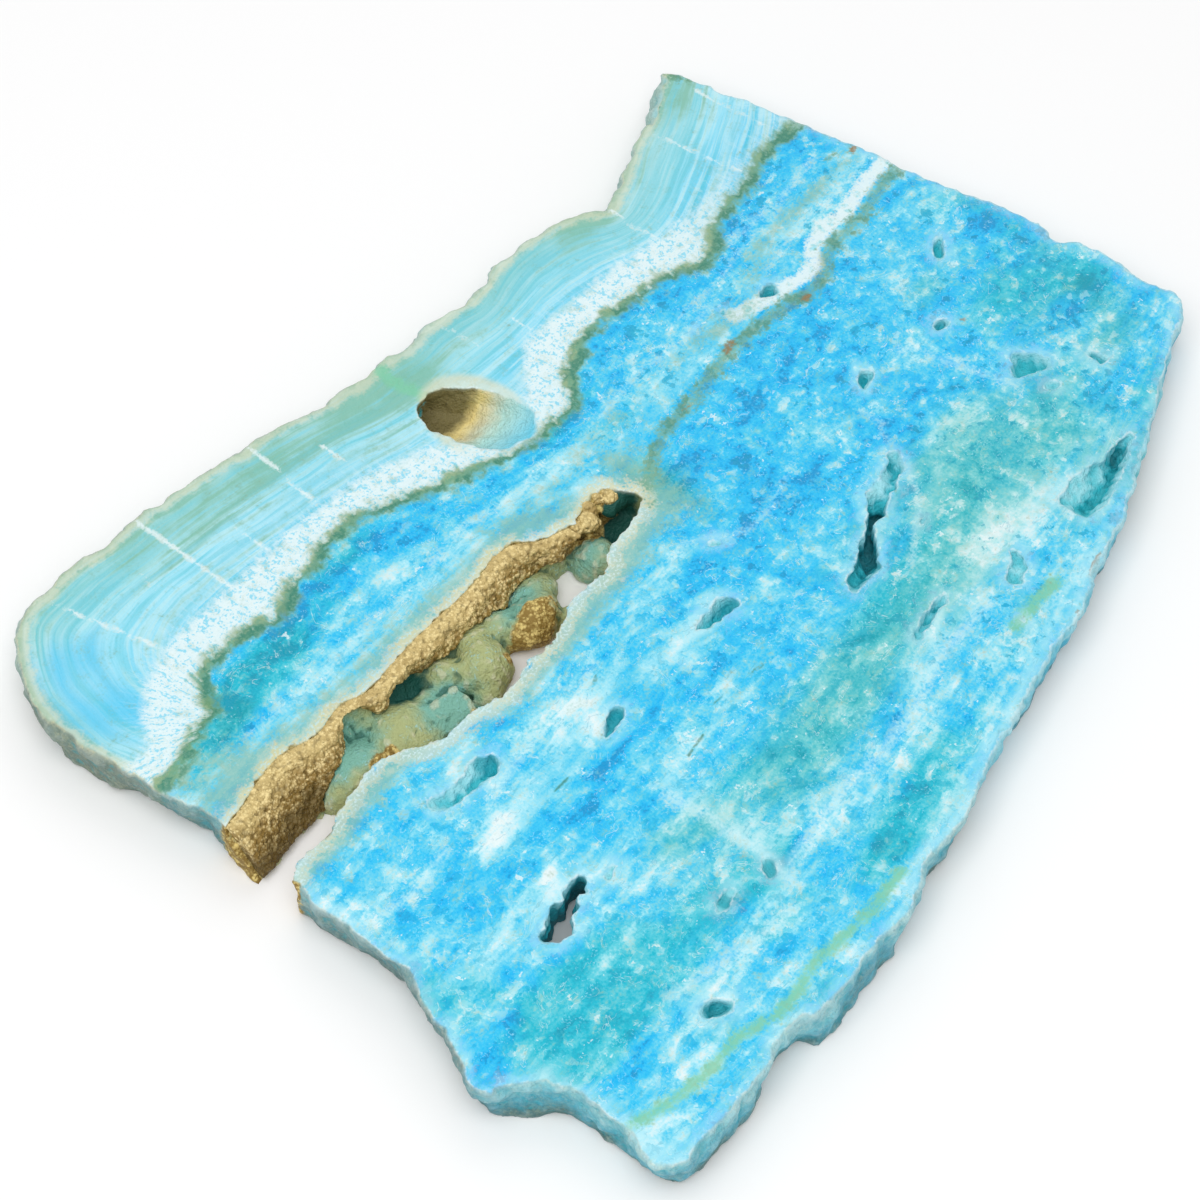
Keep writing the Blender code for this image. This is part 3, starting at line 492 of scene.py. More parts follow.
def merged_copy(node: str, name: str) -> bpy.types.Object:
    """A copy of a CAD node's mesh as one skin, in an object of its own."""
    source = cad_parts[node]
    mesh = source.data.copy()
    mesh.name = name
    mesh.materials.clear()
    bm = bmesh.new()
    bm.from_mesh(mesh)
    bmesh.ops.remove_doubles(bm, verts=bm.verts[:], dist=0.005 * MM)
    bm.to_mesh(mesh)
    bm.free()
    thing = bpy.data.objects.new(name, mesh)
    bpy.context.scene.collection.objects.link(thing)
    return thing


def bake_modifiers(thing: bpy.types.Object) -> None:
    """Makes an object's modifiers part of its mesh."""
    bpy.context.view_layer.update()
    graph = bpy.context.evaluated_depsgraph_get()
    mesh = bpy.data.meshes.new_from_object(thing.evaluated_get(graph))
    outgrown = thing.data
    thing.modifiers.clear()
    thing.data = mesh
    mesh.name = thing.name
    bpy.data.meshes.remove(outgrown)


def regrain(thing: bpy.types.Object, voxel: float) -> None:
    """Rebuilds an object's skin from small squares of one size, in millimetres."""
    step = thing.modifiers.new("regrain", "REMESH")
    step.mode = "VOXEL"
    step.voxel_size = voxel * MM
    step.adaptivity = 0.0
    step.use_smooth_shade = True
    bake_modifiers(thing)


def kept_in_box(points: np.ndarray) -> np.ndarray:
    """The points, none of them outside the CAD solid's box."""
    low, high = (np.array(corner) for corner in CAD_BOX)
    return np.clip(points, low, high)


def store_field(mesh: bpy.types.Mesh, name: str, values: np.ndarray) -> None:
    """Keeps one number for each point of a mesh, under a name that materials read."""
    field = mesh.attributes.new(name, "FLOAT", "POINT")
    field.data.foreach_set("value", values.astype(np.float32))


def points_of(mesh: bpy.types.Mesh) -> np.ndarray:
    """The points of a mesh, one row each, in metres."""
    flat = np.empty(len(mesh.vertices) * 3, np.float32)
    mesh.vertices.foreach_get("co", flat)
    return flat.reshape(-1, 3).astype(float)


def normals_of(mesh: bpy.types.Mesh) -> np.ndarray:
    """The direction that the skin faces at each point of a mesh."""
    flat = np.empty(len(mesh.vertices) * 3, np.float32)
    mesh.vertices.foreach_get("normal", flat)
    return flat.reshape(-1, 3).astype(float)


def creases_of(mesh: bpy.types.Mesh) -> np.ndarray:
    """How deep each point sits between its neighbours, negative on a ridge."""
    points = points_of(mesh) / MM
    ends = np.empty(len(mesh.edges) * 2, np.int32)
    mesh.edges.foreach_get("vertices", ends)
    ends = ends.reshape(-1, 2)
    both = np.concatenate((ends, ends[:, ::-1]))
    count = np.maximum(np.bincount(both[:, 0], minlength=len(points)), 1)

    def neighbours(values: np.ndarray) -> np.ndarray:
        return np.bincount(both[:, 0], values[both[:, 1]], len(points)) / count

    middle = np.column_stack([neighbours(column) for column in points.T])
    depth = ((middle - points) * normals_of(mesh)).sum(axis=1)
    for _ in range(2):
        depth = 0.5 * (depth + neighbours(depth))
    return np.clip(depth / 0.06, -1.0, 1.0)


def edge_distance(points: np.ndarray) -> np.ndarray:
    """Distance from each point of the polished face to where the face ends, up to 9 mm."""
    places = points / MM
    below = np.flatnonzero((places[:, 2] < THICKNESS - 0.3) & (places[:, 2] > THICKNESS - 1.6))
    tree = kdtree.KDTree(len(below))
    for index in below:
        tree.insert(places[index], int(index))
    tree.balance()
    distance = np.zeros(len(points))
    for index in np.flatnonzero(places[:, 2] >= THICKNESS - 0.3):
        distance[index] = min(tree.find(places[index])[2], 9.0)
    return distance


def move_points(mesh: bpy.types.Mesh, points: np.ndarray) -> None:
    """Puts the points of a mesh where these rows say."""
    mesh.vertices.foreach_set("co", points.astype(np.float32).ravel())
    mesh.update()


@dataclass
class SlabSkin:
    """The visible slab, grown from the CAD solid."""

    node: str = "slab"
    voxel: float = 0.55
    face_step: int = 2
    underside_step: int = 4
    kept_strip: int = 3
    rounding: int = 6
    hollow_rounding: int = 1
    wall_swell: float = 0.5
    wall_grain: float = 0.22
    lump_swell: float = 0.07
    pit_grain: float = 0.13
    edge_wobble: float = 0.3
    lip_wobble: float = 0.3
    turn: tuple[float, float, float] = (-74.0, 38.0, 30.0)

    def build(self, finish: bpy.types.Material) -> bpy.types.Object:
        """Makes the skin and dresses it.

        Args:
            finish: the stone's material.

        Returns:
            The finished object, riding on the CAD body.
        """
        slab = merged_copy(self.node, "polished_slab")
        self.swell_pits(slab.data)
        self.open_small_hollows(slab)
        regrain(slab, self.voxel)
        self.roughen(slab.data)
        self.thin_faces(slab.data)
        self.store_fields(slab.data)
        slab.data.materials.append(finish)
        slab.data.shade_smooth()
        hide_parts(self.node)
        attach(slab, "root")
        return slab

    def swell_pits(self, mesh: bpy.types.Mesh) -> None:
        """Lays rounded swellings on the far walls of the wider pits."""
        bm = bmesh.new()
        bm.from_mesh(mesh)
        for x, y, z, half_x, half_y, half_z, turn in SWELLINGS:
            place = Vector((x - MIDDLE[0], y - MIDDLE[1], z)) * MM
            sizes = Matrix.Diagonal((half_x * MM, half_y * MM, half_z * MM)).to_4x4()
            turned = Matrix.Rotation(math.radians(turn), 4, "Z")
            bmesh.ops.create_icosphere(
                bm, subdivisions=3, radius=1.0, matrix=Matrix.Translation(place) @ turned @ sizes
            )
        bm.to_mesh(mesh)
        bm.free()

    def open_small_hollows(self, slab: bpy.types.Object) -> None:
        """Sinks the pinholes and shallow recesses into the polished face."""
        bm = bmesh.new()
        for x, y, half_x, half_y, sink, turn in SMALL_HOLLOWS:
            place = Vector((x - MIDDLE[0], y - MIDDLE[1], THICKNESS - sink)) * MM
            sizes = Matrix.Diagonal((half_x * MM, half_y * MM, 1.1 * MM)).to_4x4()
            turned = Matrix.Rotation(math.radians(turn), 4, "Z")
            bmesh.ops.create_icosphere(
                bm,
                subdivisions=2,
                radius=1.0,
                matrix=Matrix.Translation(place) @ turned @ sizes,
            )
        mesh = bpy.data.meshes.new("small_hollows")
        bm.to_mesh(mesh)
        bm.free()
        cutter = bpy.data.objects.new("small_hollows", mesh)
        bpy.context.scene.collection.objects.link(cutter)
        step = slab.modifiers.new("small_hollows", "BOOLEAN")
        step.operation = "DIFFERENCE"
        step.solver = "EXACT"
        step.use_self = True
        step.object = cutter
        bake_modifiers(slab)
        bpy.data.objects.remove(cutter)

    def roughen(self, mesh: bpy.types.Mesh) -> None:
        """Rounds the walls and lumps a little and gives them their grain."""
        bm = bmesh.new()
        bm.from_mesh(mesh)
        low, high = 0.7 * MM, (THICKNESS - 0.7) * MM
        rough = [vert for vert in bm.verts if low < vert.co.z < high]
        plan = shifted(np.array([vert.co for vert in rough]))
        sharp = in_long_hollow(plan) | in_circles(plan, PITS + (EYE,))
        walls = [vert for vert, kept in zip(rough, sharp) if not kept]
        for turn in range(self.rounding):
            bmesh.ops.smooth_vert(
                bm,
                verts=rough if turn < self.hollow_rounding else walls,
                factor=0.5,
                use_axis_x=True,
                use_axis_y=True,
                use_axis_z=True,
            )
        bm.to_mesh(mesh)
        bm.free()
        points = points_of(mesh)
        normals = normals_of(mesh)
        height = points[:, 2] / MM
        moving = (height > 0.25) & (height < THICKNESS - 0.25)
        places = points[moving] / MM
        plan = shifted(points[moving])
        hollow = in_long_hollow(plan)
        pit = in_circles(plan, PITS + (EYE,)) & ~hollow
        wall = ~hollow & ~pit
        coarse = grain(places, 4.2, 1.0)
        medium = grain(places, 1.9, 5.0)
        fine = grain(places, 0.95, 9.0)
        push = np.where(wall, self.wall_swell * coarse + self.wall_grain * (medium + 0.6 * fine), 0.0)
        lumps = self.lump_swell * (2.0 * coarse + medium + fine)
        push = np.where(hollow, lumps, push)
        push = np.where(pit, self.pit_grain * (medium + 0.7 * fine), push)
        edge = np.minimum(height[moving], THICKNESS - height[moving])
        push *= np.clip(edge / 1.2, 0.0, 1.0)
        points[moving] += normals[moving] * push[:, None] * MM
        self.wobble_edges(points)
        move_points(mesh, kept_in_box(points))

    def wobble_edges(self, points: np.ndarray) -> None:
        """Shifts the skin sideways by a field that is nothing on the flat of the faces."""
        height = points[:, 2] / MM
        near = height < THICKNESS - 0.02
        places = points[near] / MM
        shift_x = grain(places * (1, 1, 0.4), 3.0, 13.0) + 0.4 * grain(places, 1.3, 17.0)
        shift_y = grain(places * (1, 1, 0.4), 3.0, 21.0) + 0.4 * grain(places, 1.3, 25.0)
        jagged = self.lip_wobble * grain(places * (1, 1, 0.3), 1.2, 29.0)
        plan = shifted(points[near])
        jagged *= in_long_hollow(plan) | in_circles(plan, PITS)
        points[near, 0] += (self.edge_wobble * shift_x - 0.4 * jagged) * MM
        points[near, 1] += (self.edge_wobble * shift_y + jagged) * MM

    def thin_faces(self, mesh: bpy.types.Mesh) -> None:
        """Makes the net of the two sawn faces coarser, and leaves the walls alone."""
        bm = bmesh.new()
        bm.from_mesh(mesh)
        self.thin_face(bm, THICKNESS * MM, self.face_step)
        self.thin_face(bm, 0.0, self.underside_step)
        bmesh.ops.triangulate(bm, faces=[face for face in bm.faces if len(face.verts) > 4])
        bm.to_mesh(mesh)
        bm.free()

    def thin_face(self, bm: bmesh.types.BMesh, height: float, step: int) -> None:
        """Merges the small squares of one sawn face into larger ones.

        Args:
            bm: the slab's skin.
            height: where the face lies, in metres.
            step: how many small squares make the side of a large one.
        """
        near = 0.12 * MM
        edge_band = {vert for vert in bm.verts if abs(vert.co.z - height) > near}
        for _ in range(self.kept_strip):
            edge_band |= {edge.other_vert(vert) for vert in edge_band for edge in vert.link_edges}
        flat = {vert for vert in bm.verts if vert not in edge_band}
        for vert in flat:
            vert.co.z = height
        outgrown = []
        for edge in bm.edges:
            first, second = edge.verts
            if first not in flat or second not in flat:
                continue
            axis = 0 if abs(first.co.x - second.co.x) < abs(first.co.y - second.co.y) else 1
            line = round(first.co[axis] / (self.voxel * MM) - 0.5)
            if line % step:
                outgrown.append(edge)
        bmesh.ops.dissolve_edges(bm, edges=outgrown, use_verts=True)

    def along_growth(self, plan: np.ndarray) -> np.ndarray:
        """A measure along the growth lines, which turn down at the left end."""
        middle_x, middle_y, reach = self.turn
        angle = np.arctan2(middle_x - plan[:, 0], np.maximum(plan[:, 1] - middle_y, 0.01))
        return np.where(plan[:, 0] < middle_x, middle_x - angle * reach, plan[:, 0])

    def store_fields(self, mesh: bpy.types.Mesh) -> None:
        """Stores every field that the stone's material reads."""
        points = points_of(mesh)
        plan = shifted(points)
        height = points[:, 2] / MM
        rim = line_distance(plan, RIM)
        olive = side_of(plan, OLIVE_LINE)
        store_field(mesh, "rim_depth", rounded_distance(plan, RIM))
        store_field(mesh, "edge", edge_distance(points))
        store_field(mesh, "crease", creases_of(mesh))
        store_field(mesh, "along", self.along_growth(plan))
        store_field(mesh, "growth", rim / np.maximum(rim + np.maximum(olive, 0.0), 0.1))
        store_field(mesh, "olive_side", olive)
        store_field(mesh, "white_side", side_of(plan, WHITE_TOP))
        store_field(mesh, "level", strata_level(plan))
        for mark in Mark:
            store_field(mesh, mark.value, mark_depth(plan, mark))
        for stain in Stain:
            store_field(mesh, stain.value, stain_strength(plan, stain))
        under_face = np.clip((THICKNESS - 0.12 - height) / 0.3, 0.0, 1.0)
        hollow = in_long_hollow(plan)
        eye = in_circles(plan, (EYE,)) & ~hollow
        pit = in_circles(plan, PITS) & ~hollow & ~eye
        store_field(mesh, "hollow", under_face * hollow)
        store_field(mesh, "eye", under_face * eye)
        store_field(mesh, "pit", under_face * pit)
        store_field(mesh, "wall", under_face * ~(hollow | eye | pit))
        inside = plan[:, 1] < heights_along(FAR_LIP, plan[:, 0])
        inside &= plan[:, 1] > heights_along(NEAR_LIP, plan[:, 0])
        side = np.where(inside & (plan[:, 0] < 4.9), -1.0, 1.0)
        store_field(mesh, "near_lip", side * line_distance(plan, NEAR_LIP))
        store_field(mesh, "far_lip", side * line_distance(plan, FAR_LIP))
        eye_ring = np.hypot((plan[:, 0] - EYE[0]) / 7.6, (plan[:, 1] - EYE[1]) / 10.8)
        store_field(mesh, "eye_ring", eye_ring)


# Middle and radius of the crust's knobs at the narrow end of the hollow
KNOBS: tuple[tuple[float, float, float, float], ...] = (
    (-4.4, 18.2, 8.3, 2.0), (-2.4, 19.8, 8.6, 1.5), (2.1, 18.9, 8.5, 1.5),
    (0.3, 20.2, 8.8, 1.1), (-6.8, 18.9, 8.4, 1.4),
)


@dataclass
class CrustSkin:
    """The golden crystal crust on the far wall of the long hollow."""

    node: str = "vug_crust"
    voxel: float = 0.21
    crystal: float = 0.8
    relief: float = 0.5
    swell: float = 0.25
    tuck: float = 0.45

    def build(self, finish: bpy.types.Material) -> bpy.types.Object:
        """Makes the crust and dresses it.

        Args:
            finish: the crust's material.

        Returns:
            The finished object, riding on the CAD body.
        """
        crust = merged_copy(self.node, "golden_crust")
        self.add_knobs(crust.data)
        regrain(crust, self.voxel)
        self.grow_crystals(crust.data)
        crust.data.materials.append(finish)
        crust.data.shade_smooth()
        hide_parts(self.node)
        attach(crust, "root")
        return crust

    def add_knobs(self, mesh: bpy.types.Mesh) -> None:
        """Adds the knobs at the narrow end of the hollow."""
        bm = bmesh.new()
        bm.from_mesh(mesh)
        for x, y, z, radius in KNOBS:
            place = Vector((x - MIDDLE[0], y - MIDDLE[1], z)) * MM
            bmesh.ops.create_icosphere(
                bm, subdivisions=2, radius=radius * MM, matrix=Matrix.Translation(place)
            )
        bm.to_mesh(mesh)
        bm.free()

    def grow_crystals(self, mesh: bpy.types.Mesh) -> None:
        """Raises the crystals and stores the fields that the finish reads."""
        points = points_of(mesh)
        normals = normals_of(mesh)
        places = points / MM
        bumps = 0.6 * crystal_bumps(places, self.crystal)
        bumps += 0.4 * crystal_bumps(places, 1.9 * self.crystal)
        waves = grain(places, 3.4, 31.0) + 0.5 * grain(places, 1.6, 37.0)
        push = self.swell * waves + self.relief * (bumps - 0.35)
        push *= np.clip(-normals[:, 1] + 0.35, 0.0, 1.0)
        push += self.tuck * np.clip(normals[:, 1], 0.0, 1.0)
        points += normals * push[:, None] * MM
        points[:, 2] = np.clip(points[:, 2], 0.0, (THICKNESS - 0.03) * MM)
        move_points(mesh, kept_in_box(points))
        plan = shifted(points)
        store_field(mesh, "bump", bumps)
        store_field(mesh, "wave", waves)
        store_field(mesh, "lip", heights_along(FAR_LIP, plan[:, 0]) - plan[:, 1])


class Graph:
    """Writes nodes into one material or node group."""

    def __init__(self, tree: bpy.types.NodeTree) -> None:
        """Starts on a node tree."""
        self.tree = tree

    def add(self, kind: str, **settings: object) -> bpy.types.Node:
        """Adds a node and sets its options."""
        node = self.tree.nodes.new(kind)
        for name, value in settings.items():
            setattr(node, name, value)
        return node

    def feed(self, socket: bpy.types.NodeSocket, value: Value) -> None:
        """Links another socket into this one, or sets it to a fixed value."""
        if isinstance(value, bpy.types.NodeSocket):
            self.tree.links.new(value, socket)
        elif isinstance(value, tuple) and socket.type == "RGBA":
            socket.default_value = (*value[:3], 1.0)
        else:
            socket.default_value = value

    def math(self, operation: str, first: Value, second: Value = 0.0) -> bpy.types.NodeSocket:
        """One sum of two values."""
        node = self.add("ShaderNodeMath", operation=operation)
        self.feed(node.inputs[0], first)
        self.feed(node.inputs[1], second)
        return node.outputs[0]

    def total(self, *parts: Value) -> bpy.types.NodeSocket:
        """All the values added up."""
        result = self.math("ADD", parts[0], parts[1])
        for part in parts[2:]:
            result = self.math("ADD", result, part)
        return result

    def scaled(self, value: Value, factor: Value) -> bpy.types.NodeSocket:
        """A value times a factor."""
        return self.math("MULTIPLY", value, factor)

    def centred(self, value: Value, factor: float) -> bpy.types.NodeSocket:
        """Noise brought to both sides of 0, times a factor."""
        return self.scaled(self.math("SUBTRACT", value, 0.5), factor)

    def field(self, name: str) -> bpy.types.NodeSocket:
        """A number stored on the skin."""
        node = self.add("ShaderNodeAttribute", attribute_type="GEOMETRY", attribute_name=name)
        return node.outputs["Fac"]

    def combined(self, x: Value, y: Value, z: Value) -> bpy.types.NodeSocket:
        """A vector from three values."""
        node = self.add("ShaderNodeCombineXYZ")
        for socket, value in zip(node.inputs, (x, y, z)):
            self.feed(socket, value)
        return node.outputs[0]

    def noise(
        self,
        place: Value,
        scale: float,
        detail: float = 3.0,
        roughness: float = 0.55,
        warp: float = 0.0,
        dimensions: str = "3D",
    ) -> bpy.types.NodeSocket:
        """Smooth noise about 0.5."""
        node = self.add("ShaderNodeTexNoise", noise_dimensions=dimensions)
        self.feed(node.inputs["Vector"], place)
        node.inputs["Scale"].default_value = scale
        node.inputs["Detail"].default_value = detail
        node.inputs["Roughness"].default_value = roughness
        node.inputs["Distortion"].default_value = warp
        return node.outputs["Fac"]

    def cells(
        self, place: Value, scale: float
    ) -> tuple[bpy.types.NodeSocket, bpy.types.NodeSocket]:
        """Grains: how far the middle of the nearest one is, and a number of its own."""
        node = self.add("ShaderNodeTexVoronoi", feature="F1")
        self.feed(node.inputs["Vector"], place)
        node.inputs["Scale"].default_value = scale
        tone = self.add("ShaderNodeSeparateColor")
        self.feed(tone.inputs[0], node.outputs["Color"])
        return node.outputs["Distance"], tone.outputs[0]

    def span(self, value: Value, low: float, high: float) -> bpy.types.NodeSocket:
        """A smooth step from 0 at low to 1 at high; it falls where low is the larger."""
        node = self.add("ShaderNodeMapRange", interpolation_type="SMOOTHSTEP", clamp=True)
        self.feed(node.inputs["Value"], value)
        rising = low < high
        node.inputs["From Min"].default_value = min(low, high)
        node.inputs["From Max"].default_value = max(low, high)
        node.inputs["To Min"].default_value = 0.0 if rising else 1.0
        node.inputs["To Max"].default_value = 1.0 if rising else 0.0
        return node.outputs[0]

    def ramp(self, value: Value, stops: tuple[tuple[float, Colour], ...]) -> bpy.types.NodeSocket:
        """A colour for each value, going smoothly from stop to stop."""
        node = self.add("ShaderNodeValToRGB")
        self.feed(node.inputs[0], value)
        elements = node.color_ramp.elements
        elements[0].position, elements[1].position = stops[0][0], stops[-1][0]
        elements[0].color, elements[1].color = (*stops[0][1], 1.0), (*stops[-1][1], 1.0)
        for place, colour in stops[1:-1]:
            elements.new(place).color = (*colour, 1.0)
        return node.outputs["Color"]

    def mix(self, mask: Value, under: Value, over: Value, blend: str = "MIX") -> bpy.types.NodeSocket:
        """One colour laid over another through a mask."""
        node = self.add("ShaderNodeMix", data_type="RGBA", blend_type=blend, clamp_factor=True)
        self.feed(node.inputs["Factor"], mask)
        self.feed(node.inputs[6], under)
        self.feed(node.inputs[7], over)
        return node.outputs[2]


@dataclass(frozen=True)
class SugarGrain:
    """The sugary grain that the crust and the gold on the lumps share, as a node group."""

    name: str = "Sugar grain"
    coarse: float = 0.95
    fine: float = 1.9

    def group(self) -> bpy.types.NodeTree:
        """The node group, made once."""
        found = bpy.data.node_groups.get(self.name)
        if found:
            return found
        tree = bpy.data.node_groups.new(self.name, "ShaderNodeTree")
        tree.interface.new_socket("Place", in_out="INPUT", socket_type="NodeSocketVector")
        tree.interface.new_socket("Light", in_out="INPUT", socket_type="NodeSocketColor")
        tree.interface.new_socket("Dark", in_out="INPUT", socket_type="NodeSocketColor")
        tree.interface.new_socket("Colour", in_out="OUTPUT", socket_type="NodeSocketColor")
        tree.interface.new_socket("Height", in_out="OUTPUT", socket_type="NodeSocketFloat")
        graph = Graph(tree)
        given = graph.add("NodeGroupInput")
        result = graph.add("NodeGroupOutput")
        place = given.outputs["Place"]
        coarse_edge, coarse_tone = graph.cells(place, self.coarse)
        fine_edge, fine_tone = graph.cells(place, self.fine)
        coarse = graph.span(coarse_edge, 0.75, 0.05)
        fine = graph.span(fine_edge, 0.7, 0.1)
        patch = graph.noise(place, 0.35, 3.0)
        # Each grain is painted lighter in its middle and darker at its edges, a painted highlight and shade; the
        # tone of each grain and the patches are the crystals' own colour
        tone = graph.total(
            -0.05,
            graph.scaled(coarse, 0.3),
            graph.scaled(fine, 0.55),
            graph.centred(coarse_tone, 0.6),
            graph.centred(fine_tone, 1.1),
            graph.centred(patch, 1.5),
        )
        graph.feed(
            result.inputs["Colour"],
            graph.mix(tone, given.outputs["Dark"], given.outputs["Light"]),
        )
        graph.feed(
            result.inputs["Height"], graph.total(graph.scaled(coarse, 0.6), graph.scaled(fine, 0.4))
        )
        return tree


def fresh_material(name: str) -> tuple[bpy.types.Material, Graph, bpy.types.Node]:
    """An empty material with its surface shader.

    Args:
        name: the finish's name.

    Returns:
        The material, a graph that writes into it, and its Principled shader.
    """
    material = bpy.data.materials.new(name)
    material.use_nodes = True
    graph = Graph(material.node_tree)
    return material, graph, material.node_tree.nodes["Principled BSDF"]


def place_in_mm(graph: Graph) -> bpy.types.NodeSocket:
    """Object coordinates in millimetres of the drawing."""
    source = graph.add("ShaderNodeTexCoord")
    mapping = graph.add("ShaderNodeMapping")
    graph.feed(mapping.inputs["Vector"], source.outputs["Object"])
    mapping.inputs["Scale"].default_value = (1 / MM, 1 / MM, 1 / MM)
    mapping.inputs["Location"].default_value = (MIDDLE[0], MIDDLE[1], 0.0)
    return mapping.outputs["Vector"]


def with_bump(
    graph: Graph, surface: bpy.types.Node, height: bpy.types.NodeSocket, strength: Value, depth: float
) -> None:
    """Gives a surface its finest relief.

    Args:
        graph: the material's graph.
        surface: its Principled shader.
        height: the relief, from 0 to 1.
        strength: how much of the relief shows.
        depth: the height of the relief in millimetres.
    """
    bump = graph.add("ShaderNodeBump")
    graph.feed(bump.inputs["Strength"], strength)
    bump.inputs["Distance"].default_value = depth * MM
    graph.feed(bump.inputs["Height"], height)
    graph.feed(surface.inputs["Normal"], bump.outputs["Normal"])


